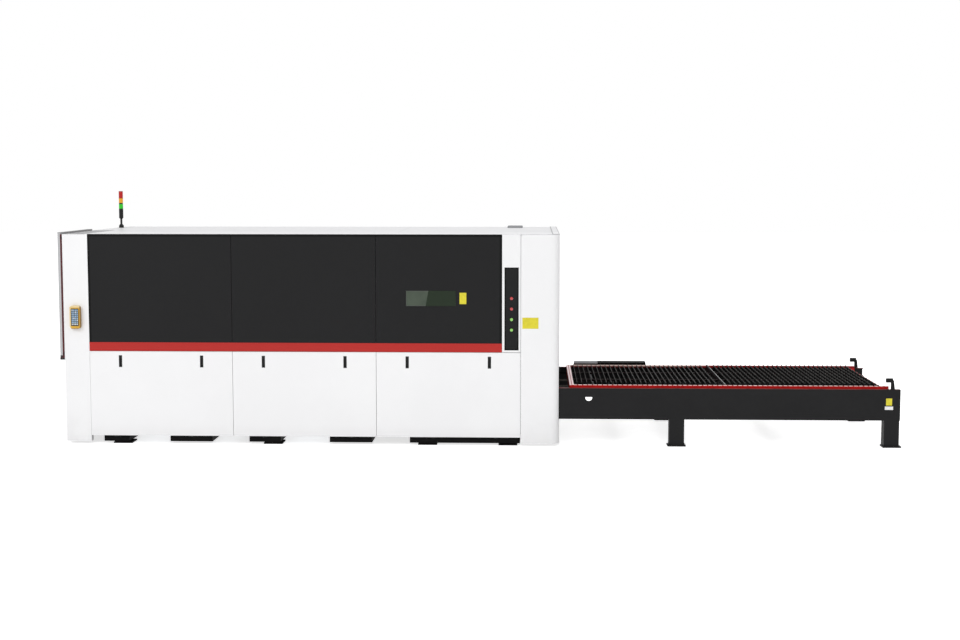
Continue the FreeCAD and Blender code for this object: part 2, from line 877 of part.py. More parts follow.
def make_rear_and_roof():
    third = f"(({FRONT_RUN} + left_column_width) / door_count)"
    panels = []
    for n in range(3):
        width = f"{third} - panel_gap - casing_sheet"
        height = f"{CASING_TOP} - skirt_bottom"
        t = "panel_sheet"
        panel = extrusion("XZ_Plane", rectangle("0", "0", width, height), "panel_thickness", True)
        pocket(panel, "XZ_Plane", rectangle(t, t, f"{width} - 2 * {t}", f"{height} - 2 * {t}"),
               f"panel_thickness - {t}")
        put(panel, f"-left_column_width + casing_sheet + {n} * {third}",
            "enclosure_depth - panel_thickness", "skirt_bottom")
        if n == 0:
            panel = cut(panel, rod("y", "port_x", "enclosure_depth - 2 * panel_thickness",
                                   "port_z", "port_radius - 0.5", "3 * panel_thickness"))
        panels.append(panel)
    finish(group(*panels), "rear_panels")

    outer = rod("y", "port_x", "enclosure_depth + port_seat", "port_z",
                "port_radius", "port_length - port_seat")
    neck = rod("y", "port_x", "enclosure_depth - panel_thickness", "port_z",
               "port_radius - 1", "panel_thickness + port_seat + 1")
    inner = rod("y", "port_x", "enclosure_depth - 2 * panel_thickness", "port_z",
                "port_radius - port_wall", "3 * panel_thickness + port_length")
    finish(cut(fuse(outer, neck), inner), "extraction_port")

    roof = box("-left_column_width", "0", CASING_TOP, f"left_column_width + portal_right",
               "enclosure_depth", "roof_thickness")
    brow = box(f"{FRONT_RUN} + panel_gap", "-portal_proud", CASING_TOP,
               "portal_width - panel_gap", "portal_proud + 1", "roof_thickness")
    cap = box(f"portal_right - gate_cap_inset", "0", "enclosure_height",
              "gate_cap_width", "enclosure_depth", "gate_cap_height")
    corner = cut(
        box(f"portal_right - portal_corner_radius", "-portal_proud", CASING_TOP,
            "portal_corner_radius", "portal_corner_radius", "roof_thickness * 4"),
        rod("z", f"portal_right - portal_corner_radius", "portal_corner_radius - portal_proud",
            CASING_TOP, "portal_corner_radius", "roof_thickness * 5"),
    )
    finish(cut(fuse(roof, brow, cap), corner), "roof_panel")
    cable_box = extrusion("XZ_Plane", [
        ("0", "0"),
        ("cable_box_width", "0"),
        ("cable_box_width", "cable_box_height - cable_box_bevel"),
        ("cable_box_width - cable_box_bevel", "cable_box_height"),
        ("cable_box_bevel", "cable_box_height"),
        ("0", "cable_box_height - cable_box_bevel"),
    ], "cable_box_depth", True)
    finish(cable_box, "roof_cable_box", "cable_box_left",
           "enclosure_depth - cable_box_depth - panel_return", "enclosure_height")


# ---------------------------------------------------------------- bed, trays and feet
def track_shelf(inner, top):
    """Corners of a wheel track that stands in from a side wall, from its outer low corner."""
    return [
        (inner, f"{top} - track_thickness"),
        (f"{inner} + track_width", f"{top} - track_thickness"),
        (f"{inner} + track_width", top),
        (inner, top),
    ]


def side_section(wall, bottom, top, inner_top):
    """The outline of a long side member with its two wheel tracks, seen from the left end."""
    low = f"({LOW_TRACK_TOP} - {bottom})"
    high = f"({TRACK_TOP} - {bottom})"
    return [("0", "0"), (wall, "0")] + track_shelf(wall, low) + track_shelf(wall, high) + inner_top


def make_bed():
    wall = "(table_front + table_plate - bed_front)"
    shelf = "(bed_shelf - bed_bottom)"
    top = "(bed_top - bed_bottom)"
    upper = [
        (wall, shelf),
        ("bed_shelf_width", shelf),
        ("bed_shelf_width", top),
        ("0", top),
    ]
    run = "bed_right - bed_left"
    beams = []
    for y, turn in (("bed_front", 1), (BED_BACK, -1)):
        outline = side_section(wall, "bed_bottom", top, upper)
        beam = extrusion("YZ_Plane", outline, run)
        if turn < 0:
            mirrored = doc.addObject("Part::Mirroring", "Mirrored")
            mirrored.Source = beam
            mirrored.Normal = FreeCAD.Vector(0, 1, 0)
            beam = mirrored
        boss = rod("y", "idler_shaft_x - bed_left", wall if turn > 0 else f"-{wall} - bearing_proud",
                   "chain_height - bed_bottom", "bearing_boss_radius", "bearing_proud")
        bore = rod("y", "idler_shaft_x - bed_left",
                   f"{wall} / 2" if turn > 0 else f"-{wall} - 2 * bearing_proud",
                   "chain_height - bed_bottom", "shaft_radius + shaft_fit",
                   f"{wall} / 2 + 2 * bearing_proud")
        placed = cut(fuse(beam, boss), bore)
        put(placed, "bed_left", y, "bed_bottom")
        beams.append(placed)
    finish(group(*beams), "bed_side_beams")


HINGE_Y = "(panel_thickness + hinge_behind_door)"
HINGE_Z = "(skirt_bottom - hinge_below_door)"
BEAM_FRONT = f"({HINGE_Y} + hinge_radius + 1)"


def hinge_places():
    """The middle of each door hinge, two to a door, all over a cross-beam."""
    middles = [f"(cross_beam_{n}_left + cross_beam_{n}_width / 2)" for n in (1, 2, 3, 4)]
    left = "cross_beam_5_left"
    return middles + [f"({left} + hinge_inset)", f"({left} + cross_beam_5_width - hinge_inset)"]


def make_base():
    depth = f"(enclosure_depth - panel_thickness - {BEAM_FRONT})"
    wall = "(table_front + table_plate - bed_front)"
    post = "bed_post_width"
    last = "cross_beam_5_left + cross_beam_5_width - bed_post_width"
    posts_on = {1: ["cross_beam_1_left"], 3: ["cross_beam_3_left"],
                5: ["cross_beam_5_left", last]}
    hinges_on = {1: [0], 2: [1], 3: [2], 4: [3], 5: [4, 5]}
    hinges = hinge_places()
    beams = []
    for n in (1, 2, 3, 4, 5):
        pieces = [box(f"cross_beam_{n}_left", BEAM_FRONT, "cross_beam_bottom",
                      f"cross_beam_{n}_width", depth, "cross_beam_top - cross_beam_bottom")]
        for left in posts_on.get(n, []):
            for y in ("bed_front", f"{BED_BACK} - {wall}"):
                pieces.append(box(left, y, "cross_beam_top - 1", post, wall,
                                  "bed_bottom - cross_beam_top + 1"))
        for hinge in hinges_on[n]:
            middle = hinges[hinge]
            pieces.append(rod("x", f"{middle} - 1.5 * hinge_knuckle", HINGE_Y, HINGE_Z,
                              "hinge_pin_radius", "3 * hinge_knuckle"))
            for start in (f"{middle} - 1.5 * hinge_knuckle", f"{middle} + 0.5 * hinge_knuckle + 1"):
                pieces.append(rod("x", start, HINGE_Y, HINGE_Z, "hinge_radius",
                                  "hinge_knuckle - 1"))
                pieces.append(box(start, HINGE_Y, f"{HINGE_Z} - hinge_radius",
                                  "hinge_knuckle - 1", f"{BEAM_FRONT} - {HINGE_Y} + 1",
                                  "2 * hinge_radius"))
        beams.append(fuse(*pieces))
    finish(group(*beams), "bed_cross_beams")

    feet = []
    for n in (1, 2, 3, 4):
        for y in (f"{BEAM_FRONT} + foot_plate / 2",
                  "enclosure_depth - panel_thickness - foot_plate / 2"):
            feet.append(fuse(
                box(f"foot_{n}_x - foot_plate / 2", f"{y} - foot_plate / 2", "0",
                    "foot_plate", "foot_plate", "foot_thickness"),
                rod("z", f"foot_{n}_x", y, "foot_thickness / 2", "foot_stem_radius",
                    "cross_beam_bottom - foot_thickness / 2"),
            ))
    finish(group(*feet), "levelling_feet")


def make_trays():
    """Scrap trays on the cross-beams, each able to slide out through its own front door."""
    third = f"({FRONT_RUN} / door_count)"
    front = "(table_front + table_plate + tray_gap)"
    depth = f"({BED_BACK} - bed_front - 4 * tray_gap)"
    post_end = "bed_post_width + tray_gap"
    bays = (
        (f"cross_beam_1_left + {post_end}", f"{third} - panel_gap"),
        (f"cross_beam_3_left + {post_end}", f"2 * {third} - panel_gap"),
        (f"cross_beam_5_left + {post_end}",
         f"cross_beam_5_left + cross_beam_5_width - ({post_end})"),
    )
    trays = []
    for left, right in bays:
        width = f"({right} - ({left}))"
        z = "(cross_beam_top + tray_seat_gap)"
        outer = box(left, front, z, width, depth, "tray_height")
        inner = box(f"{left} + tray_wall", f"{front} + tray_wall", f"{z} + tray_wall",
                    f"{width} - 2 * tray_wall", f"{depth} - 2 * tray_wall", "tray_height")
        trays.append(cut(outer, inner))
    finish(group(*trays), "scrap_trays")


# ---------------------------------------------------------------- exchange table
def make_table_sides():
    wall = "table_plate"
    height = "(table_top - table_bottom)"
    top = [
        (wall, f"{height} - flange_thickness"),
        ("table_flange", f"{height} - flange_thickness"),
        ("table_flange", height),
        ("0", height),
    ]
    x = "(bed_right + 0.5)"
    run = f"({RIGHT_END} - leg_foot_overhang - {x})"
    for label, turn in (("table_side_near", 1), ("table_side_far", -1)):
        side = extrusion("YZ_Plane", side_section(wall, "table_bottom", height, top), run)
        pieces = []
        holes = []
        if turn > 0:
            # a D-shaped slot for a lifting sling: flat top, rounded ends below
            r = "sling_hole_radius"
            u = f"(sling_hole_left - {x})"
            z = "(sling_hole_bottom - table_bottom)"
            slot = box(u, f"-{wall}", z, "sling_hole_width", f"3 * {wall}", "sling_hole_height")
            lower = fuse(
                rod("y", f"{u} + {r}", f"-{wall}", f"{z} + {r}", r, f"3 * {wall}"),
                rod("y", f"{u} + sling_hole_width - {r}", f"-{wall}", f"{z} + {r}", r,
                    f"3 * {wall}"),
                box(f"{u} + {r}", f"-{wall}", z, f"sling_hole_width - 2 * {r}",
                    f"3 * {wall}", "sling_hole_height"),
            )
            shaped = doc.addObject("Part::Common", "SlingSlot")
            shaped.Base = slot
            shaped.Tool = lower
            holes.append(shaped)
            end = wall
        else:
            mirrored = doc.addObject("Part::Mirroring", "Mirrored")
            mirrored.Source = side
            mirrored.Normal = FreeCAD.Vector(0, 1, 0)
            side = mirrored
            end = f"-{wall} - bearing_proud"
        centre = (f"drive_shaft_x - {x}", "chain_height - table_bottom")
        pieces.append(rod("y", centre[0], end, centre[1], "bearing_boss_radius",
                          "bearing_proud"))
        if turn > 0:
            holes.append(rod("y", centre[0], f"{wall} / 2", centre[1], "shaft_radius + shaft_fit",
                             f"{wall} / 2 + 2 * bearing_proud"))
        else:
            holes.append(rod("y", centre[0], f"-{wall} - 2 * bearing_proud", centre[1],
                             "shaft_radius + shaft_fit", f"2 * {wall} + 3 * bearing_proud"))
        finish(cut(fuse(side, *pieces), *holes), label, x,
               "table_front" if turn > 0 else TABLE_BACK, "table_bottom")


def make_table_legs():
    end_left = f"({RIGHT_END} - leg_foot_overhang - leg_width - end_leg_inset)"
    t = "leg_foot_thickness"
    legs = []
    over = "leg_foot_overhang"
    for left, shift in (("mid_leg_left", "0"), (end_left, "end_leg_inset")):
        foot_left = f"({left} + {shift} - {over})"
        foot_width = f"(leg_width + 2 * {over})"
        for near in (True, False):
            y = "table_front" if near else f"({TABLE_BACK} - leg_depth)"
            post = box(left, y, t, "leg_width", "leg_depth", f"table_bottom - {t}")
            plate = box(foot_left, f"{y} - {over}" if near else y, "0", foot_width,
                        f"leg_depth + {over}", t)
            bolts = [
                rod("z", place, f"{y} + leg_depth / 2", f"-{t}", "leg_bolt_radius", f"3 * {t}")
                for place in (f"{foot_left} + leg_bolt_inset",
                              f"{foot_left} + {foot_width} - leg_bolt_inset")
            ]
            legs.append(fuse(post, cut(plate, *bolts)))
    finish(group(*legs), "table_legs")


def make_table_ties():
    z = "table_bottom"
    height = f"({LOW_TRACK_TOP} - track_thickness - table_bottom)"
    y = "(table_front + table_plate)"
    width = f"({TABLE_BACK} - table_front - 2 * table_plate)"
    ties = []
    for left in ("drive_shaft_x - tie_width / 2", "mid_leg_left", "mid_leg_left + far_tie_gap",
                 f"{RIGHT_END} - leg_foot_overhang - leg_width"):
        ties.append(box(left, y, z, "tie_width", width, height))
    finish(group(*ties), "table_cross_ties")


def make_drive_cover():
    depth = "drive_cover_depth"
    height = "(drive_cover_top - drive_cover_bottom)"
    cover = extrusion("YZ_Plane", [
        ("0", "0"),
        (f"{depth} - drive_cover_low_bevel", "0"),
        (depth, "drive_cover_low_bevel"),
        (depth, f"{height} - drive_cover_high_bevel"),
        (f"{depth} - drive_cover_high_bevel", height),
        ("0", height),
    ], "drive_cover_length")
    bore = rod("y", "drive_shaft_x - drive_cover_left", "-1",
               "chain_height - drive_cover_bottom", "shaft_radius + shaft_fit", f"{depth} / 2")
    finish(cut(cover, bore), "exchange_drive_cover", "drive_cover_left", TABLE_BACK,
           "drive_cover_bottom")


def make_end_stops():
    stops = []
    x = f"({RIGHT_END} - leg_foot_overhang - stop_inset)"
    for near in (True, False):
        y = ("table_front + stop_edge_gap" if near
             else f"{TABLE_BACK} - stop_edge_gap - stop_depth")
        z = "table_top"
        r = "stop_head_radius"
        blade = extrusion("XZ_Plane", [
            ("0", "0"),
            ("stop_width", "0"),
            ("stop_tip_width", f"stop_height - {r}"),
            ("0", f"stop_height - {r}"),
        ], "stop_depth", True)
        put(blade, x, y, z)
        head = rod("x", f"{x} - stop_head_overhang", f"{y} + stop_depth / 2",
                   f"{z} + stop_height - {r}", r, "stop_head_length")
        stops.append(fuse(blade, head))
    finish(group(*stops), "end_stops")


# ---------------------------------------------------------------- chain drive
PITCH_RADIUS = "(chain_pitch / (2 * sin(180 / sprocket_teeth * 1deg)))"


def chain_places():
    """The two planes of the chain loops, either side of the pallets' middle."""
    return [f"({PALLET_MIDDLE_Y} - chain_spread / 2)", f"({PALLET_MIDDLE_Y} + chain_spread / 2)"]


def pitch_radius():
    return size("chain_pitch") / (2 * math.sin(math.pi / size("sprocket_teeth")))


def racetrack(x0, x1, z, radius, y, thickness):
    """A solid round two equal wheels, its flat faces square to Y."""
    low = FreeCAD.Vector(x0, y, z - radius)
    high = FreeCAD.Vector(x0, y, z + radius)
    low_end = FreeCAD.Vector(x1, y, z - radius)
    high_end = FreeCAD.Vector(x1, y, z + radius)
    left = FreeCAD.Vector(x0 - radius, y, z)
    right = FreeCAD.Vector(x1 + radius, y, z)
    wire = Part.Wire([
        Part.LineSegment(low, low_end).toShape(),
        Part.Arc(low_end, right, high_end).toShape(),
        Part.LineSegment(high_end, high).toShape(),
        Part.Arc(high, left, low).toShape(),
    ])
    return Part.Face(wire).extrude(FreeCAD.Vector(0, thickness, 0))


def make_chains():
    """Each loop is a pair of link-plate bands with room between them for the teeth."""
    pitch = pitch_radius()
    half = size("chain_plate_height") / 2
    apart = size("sprocket_width") / 2 + size("running_gap")
    plate = size("chain_plate")
    bands = []
    for middle in chain_places():
        for y in (measure(middle) - apart - plate, measure(middle) + apart):
            loop = (size("idler_shaft_x"), size("drive_shaft_x"), size("chain_height"))
            outer = racetrack(*loop, pitch + half, y, plate)
            inner = racetrack(*loop, pitch - half, y - 1, plate + 2)
            bands.append(outer.cut(inner))
    chains = doc.addObject("Part::Feature", "Chains")
    chains.Shape = Part.makeCompound(bands)
    finish(chains, "exchange_chains")


def sprocket(x, y):
    """A toothed disc whose outline steps out to the pitch circle once for each tooth."""
    root = pitch_radius() - size("chain_plate_height") / 2 - size("running_gap")
    teeth = int(size("sprocket_teeth"))
    foot = size("tooth_foot_share") / 2
    tip = size("tooth_tip_share") / 2
    steps = ((-foot, root), (-tip, pitch_radius()), (tip, pitch_radius()), (foot, root))
    points = []
    for n in range(teeth):
        for share, reach in steps:
            angle = 2 * math.pi * (n + share) / teeth
            points.append(FreeCAD.Vector(reach * math.cos(angle), 0, reach * math.sin(angle)))
    disc = Part.Face(Part.makePolygon(points + points[:1]))
    width = size("sprocket_width")
    wheel = doc.addObject("Part::Feature", "Sprocket")
    wheel.Shape = disc.extrude(FreeCAD.Vector(0, width, 0)).translated(
        FreeCAD.Vector(measure(x), measure(y) - width / 2, size("chain_height")))
    return wheel


def make_shafts():
    near = "(table_front + table_plate / 2 + shaft_end_gap)"
    shafts = (
        ("drive_shaft", "drive_shaft_x", near,
         f"{TABLE_BACK} + drive_shaft_reach - {near}"),
        ("idler_shaft", "idler_shaft_x",
         "(bed_front + (table_front + table_plate - bed_front) / 2 + shaft_end_gap)",
         f"{BED_BACK} - bed_front - (table_front + table_plate - bed_front)"
         " - 2 * shaft_end_gap"),
    )
    for label, x, y, length in shafts:
        bar = rod("y", x, y, "chain_height", "shaft_radius", length)
        wheels = [sprocket(x, middle) for middle in chain_places()]
        finish(fuse(bar, *wheels), label)


# ---------------------------------------------------------------- pallets
def make_pallet(level, x, drop):
    """One pallet: its welded frame, its toothed slats and its two wheel sets."""
    length = "pallet_length"
    width = "pallet_width"
    bottom = f"({RIM_BOTTOM} - ({drop}))"
    span = f"({width} - 2 * rim_side)"
    groove = box(f"{x} + rim_left / 2 - rim_groove / 2", "pallet_front + rim_side",
                 f"{bottom} + rim_height - rim_groove / 2", "rim_groove", span, "rim_groove")
    left_rail = box(x, "pallet_front", bottom, "rim_left", width, "rim_height")
    frame = [
        cut(left_rail, groove),
        box(f"{x} + end_rail_left", "pallet_front + rim_side / 2", bottom, "end_rail_width",
            f"{width} - rim_side", "rim_height - end_rail_drop"),
    ]
    for y in ("pallet_front", f"pallet_front + {width} - rim_side"):
        frame.append(box(x, y, bottom, length, "rim_side", "rim_height"))
    for sign in (-1, 1):
        frame.append(box(
            f"{x} + rim_left / 2",
            f"{PALLET_MIDDLE_Y} + {sign} * support_bar_spread / 2 - support_bar / 2",
            f"{bottom} + rim_height - support_bar_drop - support_bar_height",
            "end_rail_left + end_rail_width / 2 - rim_left / 2", "support_bar",
            "support_bar_height"))
    middle = f"({x} + {BEAM_PLACE})"
    frame.append(box(f"{middle} - centre_beam_width / 2", "pallet_front + rim_side / 2",
                     bottom, "centre_beam_width", f"{width} - rim_side",
                     "rim_height + slat_proud"))
    # the block that the chain pulls stands clear of the chain's plates
    reach = f"({PITCH_RADIUS} + chain_plate_height / 2 + running_gap)"
    for y in chain_places():
        if level == "upper":
            low = f"(chain_height + {reach})"
            frame.append(box(f"{x} + pull_block_inset", f"{y} - rim_side / 2", low,
                             "pull_block_width", "rim_side", f"{bottom} - {low} + 2"))
        else:
            low = f"({bottom} + rim_height - 2)"
            frame.append(box(f"{x} + pull_block_inset", f"{y} - rim_side / 2", low,
                             "pull_block_width", "rim_side",
                             f"chain_height - {reach} - {low}"))
    axle = f"({bottom} + axle_height)"
    holes = []
    for place in (f"{x} + axle_inset", f"{x} + {length} - axle_inset"):
        for side in ("pallet_front - 1", f"pallet_front + {width} - rim_side - 1"):
            holes.append(rod("y", place, side, axle, "axle_radius + pin_fit", "rim_side + 2"))
    finish(cut(fuse(*frame), *holes), f"{level}_pallet_frame")

    make_slats(level, x, measure(drop))

    for n, place in enumerate((f"{x} + axle_inset", f"{x} + {length} - axle_inset")):
        gap = "wheel_gap"
        near = f"(pallet_front - {gap} - wheel_width)"
        span = f"({width} + 2 * {gap} + 2 * wheel_width)"
        pieces = [rod("y", place, near, axle, "axle_radius", span)]
        for y in (near, f"{near} + {span} - wheel_width"):
            pieces.append(rod("y", place, y, axle, "wheel_radius", "wheel_width"))
        end = ("left", "right")[n]
        finish(fuse(*pieces), f"{level}_wheels_{end}")


def slat_outline(drop, toothed):
    """One slat seen from the left end: ears over both rims, slots over the support bars."""
    rim_front = measure("pallet_front")
    rim_back = measure("pallet_front + pallet_width")
    ear = size("slat_ear_gap")
    inside = size("rim_side") + size("slat_end_gap")
    top = measure(SLAT_TOP) - drop
    low = top - size("slat_height")
    seat = size("pallet_top") + size("slat_seat_gap") - drop
    bar_top = measure("pallet_top - support_bar_drop") + size("slat_seat_gap") - drop
    half_slot = size("support_bar") / 2 + size("running_gap")
    points = [(rim_front + ear, seat), (rim_front + inside, seat), (rim_front + inside, low)]
    for sign in (-1, 1):
        bar = measure(PALLET_MIDDLE_Y) + sign * size("support_bar_spread") / 2
        points += [(bar - half_slot, low), (bar - half_slot, bar_top),
                   (bar + half_slot, bar_top), (bar + half_slot, low)]
    points += [(rim_back - inside, low), (rim_back - inside, seat), (rim_back - ear, seat)]
    if not toothed:
        return points + [(rim_back - ear, top), (rim_front + ear, top)]
    # the saw teeth start and end on the ears
    root = top - size("slat_tooth_height")
    first = rim_front + inside
    run = rim_back - inside - first
    count = int(run // size("slat_tooth_pitch"))
    points += [(rim_back - ear, top)]
    for n in range(count):
        points += [(first + run * (1 - n / count), top),
                   (first + run * (1 - (n + 0.5) / count), root)]
    return points + [(first, top), (rim_front + ear, top)]


def make_slats(level, x, drop):
    """A row of thin plates on edge, with the beam standing in the gap between its halves."""
    start = measure(f"{x} + first_slat") - size("slat_thickness") / 2
    outline = slat_outline(drop, level == "upper")
    corners = [FreeCAD.Vector(start, y, z) for y, z in outline]
    slat = Part.Face(Part.makePolygon(corners + corners[:1]))
    slat = slat.extrude(FreeCAD.Vector(size("slat_thickness"), 0, 0))
    pitch = size("slat_pitch")
    places = [n * pitch for n in range(int(size("slats_left")))]
    restart = places[-1] + 2 * size("slat_to_beam")
    places += [restart + n * pitch for n in range(int(size("slats_right")))]
    row = doc.addObject("Part::Feature", "Slats")
    row.Shape = Part.makeCompound([slat.translated(FreeCAD.Vector(u, 0, 0)) for u in places])
    finish(row, f"{level}_pallet_slats")


# ---------------------------------------------------------------- gantry and cutting head
RAIL_Y = "(bed_front + rail_inset)"
RAIL_Y_FAR = f"({BED_BACK} - rail_inset)"


def make_rails():
    pieces = []
    run = "bed_right - bed_left - 2 * rail_end_gap"
    start = "bed_left + rail_end_gap"
    for y, side in ((RAIL_Y, 1), (RAIL_Y_FAR, -1)):
        pieces.append(box(start, f"{y} - rail_width / 2", "bed_top", run,
                          "rail_width", "rail_height"))
        offset = f"({y} + {side} * (rail_width / 2 + rack_gap + rack_width / 2) - rack_width / 2)"
        pieces.append(box(start, offset, "bed_top", run, "rack_width",
                          "rack_width"))
    finish(group(*pieces), "gantry_rails")


def make_gantry():
    x = "gantry_home"
    base = "(bed_top + rail_height + running_gap)"
    bottom = f"({base} + saddle_height)"
    front = f"({RAIL_Y} - rail_width * 1.5)"
    length = f"({RAIL_Y_FAR} - {RAIL_Y} + rail_width * 3)"
    beam = extrusion("XZ_Plane", [
        ("0", "0"),
        ("gantry_width", "0"),
        ("gantry_width", "gantry_height"),
        ("gantry_ridge", "gantry_height"),
        ("0", "gantry_shoulder"),
    ], length, True)
    put(beam, x, front, bottom)
    hollow = extrusion("XZ_Plane", [
        ("gantry_wall", "gantry_wall"),
        ("gantry_width - gantry_wall", "gantry_wall"),
        ("gantry_width - gantry_wall", "gantry_height - gantry_wall"),
        ("gantry_ridge + gantry_wall / 2", "gantry_height - gantry_wall"),
        ("gantry_wall", "gantry_shoulder - gantry_wall / 2"),
    ], f"{length} - 2 * gantry_wall", True)
    put(hollow, x, f"{front} + gantry_wall", bottom)
    saddles = [
        box(f"{x} + gantry_width / 2 - saddle_length / 2", f"{y} - rail_width", base,
            "saddle_length", "rail_width * 2", "saddle_height + gantry_wall / 2")
        for y in (RAIL_Y, RAIL_Y_FAR)
    ]
    rails = [
        box(f"{x} + gantry_width", f"{front} + gantry_wall",
            f"{bottom} + {height} - beam_rail_height", "beam_rail_height",
            f"{length} - 2 * gantry_wall", "2 * beam_rail_height")
        for height in ("beam_rail_inset", "gantry_height - beam_rail_inset")
    ]
    finish(fuse(cut(beam, hollow), *saddles, *rails), "gantry_beam")

    middle = PALLET_MIDDLE_Y
    face = f"({x} + gantry_width + beam_rail_height + running_gap)"
    low = f"({bottom} - carriage_height / 2 + gantry_height / 2)"
    plate = box(face, f"{middle} - carriage_width / 2", low, "carriage_thickness",
                "carriage_width", "carriage_height")
    guides = [
        box(f"{face} + carriage_thickness",
            f"{middle} + {sign} * head_slide_width / 3 - head_rail_thickness / 2", low,
            "head_rail_thickness", "head_rail_thickness", "carriage_height")
        for sign in (-1, 1)
    ]
    finish(fuse(plate, *guides), "head_carriage")

    front_face = f"({face} + carriage_thickness + head_rail_thickness + running_gap)"
    tip = f"({SLAT_TOP} + nozzle_standoff)"
    body_low = f"({tip} + nozzle_height + head_barrel_height)"
    slide = box(front_face, f"{middle} - head_slide_width / 2",
                f"{body_low} + head_slide_lift", "head_slide_thickness",
                "head_slide_width", "head_slide_height")
    finish(group(slide), "head_slide")

    # the cutting head: a square body, a round barrel and a stepped nozzle, one turned piece
    centre = f"({front_face} + head_slide_thickness + head_body_side / 2)"
    lower = revolve("XZ_Plane", [
        ("0", "0"),
        ("nozzle_tip_radius", "0"),
        ("nozzle_radius", "nozzle_shoulder"),
        ("nozzle_radius", "nozzle_height"),
        ("head_barrel_radius", "nozzle_height"),
        ("head_barrel_radius", "nozzle_height + head_barrel_height"),
        ("0", "nozzle_height + head_barrel_height"),
    ], "V_Axis")
    put(lower, centre, middle, tip)
    body = extrusion("XY_Plane", rectangle("0", "0", "head_body_side", "head_body_side"),
                     "head_body_height")
    fillet(body, "head_body_corner",
           lambda e: along(e, Z_AXIS) and e.CenterOfMass.x > 1)
    put(body, f"{centre} - head_body_side / 2", f"{middle} - head_body_side / 2", body_low)
    finish(fuse(lower, body), "cutting_head")


# ---------------------------------------------------------------- stack light and pendant
def make_stack_light():
    r = "stack_radius"
    pole = "stack_pole_radius"
    pole_low = "(stack_foot_height + stack_foot_taper)"
    pole_top = f"({pole_low} + stack_pole_height)"
    body_low = f"({pole_top} + stack_taper)"
    body_top = f"({body_low} + stack_body_height)"
    body = revolve("XZ_Plane", [
        ("0", "0"),
        ("stack_foot_radius", "0"),
        ("stack_foot_radius", "stack_foot_height"),
        (pole, pole_low),
        (pole, pole_top),
        (r, body_low),
        (r, body_top),
        ("0", body_top),
    ], "V_Axis")
    finish(body, "stack_light_body", "stack_x", "stack_y", "enclosure_height")
    edge = "lens_edge"
    low = body_top
    for colour, height, neck in (("green", "lens_height", "lens_gap"),
                                 ("amber", "lens_height", "0"),
                                 ("red", "top_lens_height", "0")):
        section = [
            ("0", "0"),
            (f"{r} - {edge} / 4", "0"),
            (f"{r} - {edge} / 4", f"{height} - {edge}"),
            (f"{r} - {edge}", height),
        ]
        if neck != "0":
            section.append((f"{r} - {edge}", f"{height} + {neck}"))
        section.append(("0", f"{height} + {neck}"))
        lamp = revolve("XZ_Plane", section, "V_Axis")
        finish(lamp, f"stack_light_{colour}", "stack_x", "stack_y", f"enclosure_height + {low}")
        low = f"({low} + {height} + {neck})"


def make_pendant():
    body = extrusion("XZ_Plane", rectangle("0", "0", "pendant_width", "pendant_height"),
                     "pendant_depth")
    fillet(body, "pendant_corner", lambda e: along(e, Y_AXIS))
    finish(body, "pendant_body", "pendant_left", "-pendant_off_wall", "pendant_bottom")
    m = "keypad_margin"
    keypad = extrusion("XZ_Plane", rectangle(
        "0", "0", f"pendant_width - 2 * {m}", "pendant_height - 2 * keypad_end_margin"),
        "keypad_proud")
    fillet(keypad, "keypad_corner", lambda e: along(e, Y_AXIS))
    finish(keypad, "pendant_keypad", f"pendant_left + {m}",
           "-pendant_off_wall - pendant_depth", "pendant_bottom + keypad_end_margin")


# ---------------------------------------------------------------- the whole machine
make_left_column()
make_left_side_wall()
make_side_door()
make_front_panels()
make_indicator_column()
make_front_doors()
make_portal()
make_gate()
make_rear_and_roof()
make_bed()
make_base()
make_trays()
make_table_sides()
make_table_legs()
make_table_ties()
make_drive_cover()
make_end_stops()
make_chains()
make_shafts()
make_pallet("upper", "pallet_left", "0")
make_pallet("lower", "(pallet_left - exchange_travel)", "level_step")
make_rails()
make_gantry()
make_stack_light()
make_pendant()
doc.recompute()

faults = []
for obj in doc.Objects:
    if "Invalid" in obj.State or "Error" in obj.State:
        faults.append(f"{obj.Label} ({obj.Name}): {obj.State}")
for piece in sub_parts:
    if piece.Shape.isNull() or not piece.Shape.isValid():
        faults.append(f"{piece.Label}: shape not valid")
labels = [piece.Label for piece in sub_parts]
if len(set(labels)) != len(labels) or len(labels) > 60:
    faults.append(f"{len(labels)} sub-parts, {len(set(labels))} names")
if faults:
    raise RuntimeError("; ".join(faults))

os.makedirs("parts", exist_ok=True)
for piece in sub_parts:
    piece.Shape.exportStep(f"parts/{piece.Label}.step")
    print(f"{piece.Label}: {len(piece.Shape.Solids)} solid(s), {piece.Shape.Volume / 1e6:.1f} l")
print(len(sub_parts), "sub-parts")
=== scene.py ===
"""Looks of the enclosed fibre laser cutting machine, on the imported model's own frame."""
import math

import bmesh
import bpy
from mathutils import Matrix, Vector


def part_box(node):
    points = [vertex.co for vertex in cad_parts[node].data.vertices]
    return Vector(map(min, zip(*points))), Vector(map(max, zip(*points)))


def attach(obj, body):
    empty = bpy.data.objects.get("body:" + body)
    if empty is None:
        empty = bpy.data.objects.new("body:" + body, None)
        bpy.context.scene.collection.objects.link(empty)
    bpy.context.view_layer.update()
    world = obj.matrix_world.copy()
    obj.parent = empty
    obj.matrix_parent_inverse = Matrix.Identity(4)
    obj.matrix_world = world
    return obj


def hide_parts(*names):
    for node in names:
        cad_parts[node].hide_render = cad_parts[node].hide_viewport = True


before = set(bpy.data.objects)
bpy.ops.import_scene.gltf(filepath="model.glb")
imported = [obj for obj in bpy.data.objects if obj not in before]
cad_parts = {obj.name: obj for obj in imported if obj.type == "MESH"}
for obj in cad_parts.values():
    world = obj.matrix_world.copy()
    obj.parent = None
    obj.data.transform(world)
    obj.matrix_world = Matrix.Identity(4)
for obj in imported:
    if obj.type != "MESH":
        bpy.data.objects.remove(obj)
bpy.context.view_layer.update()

scene = bpy.context.scene
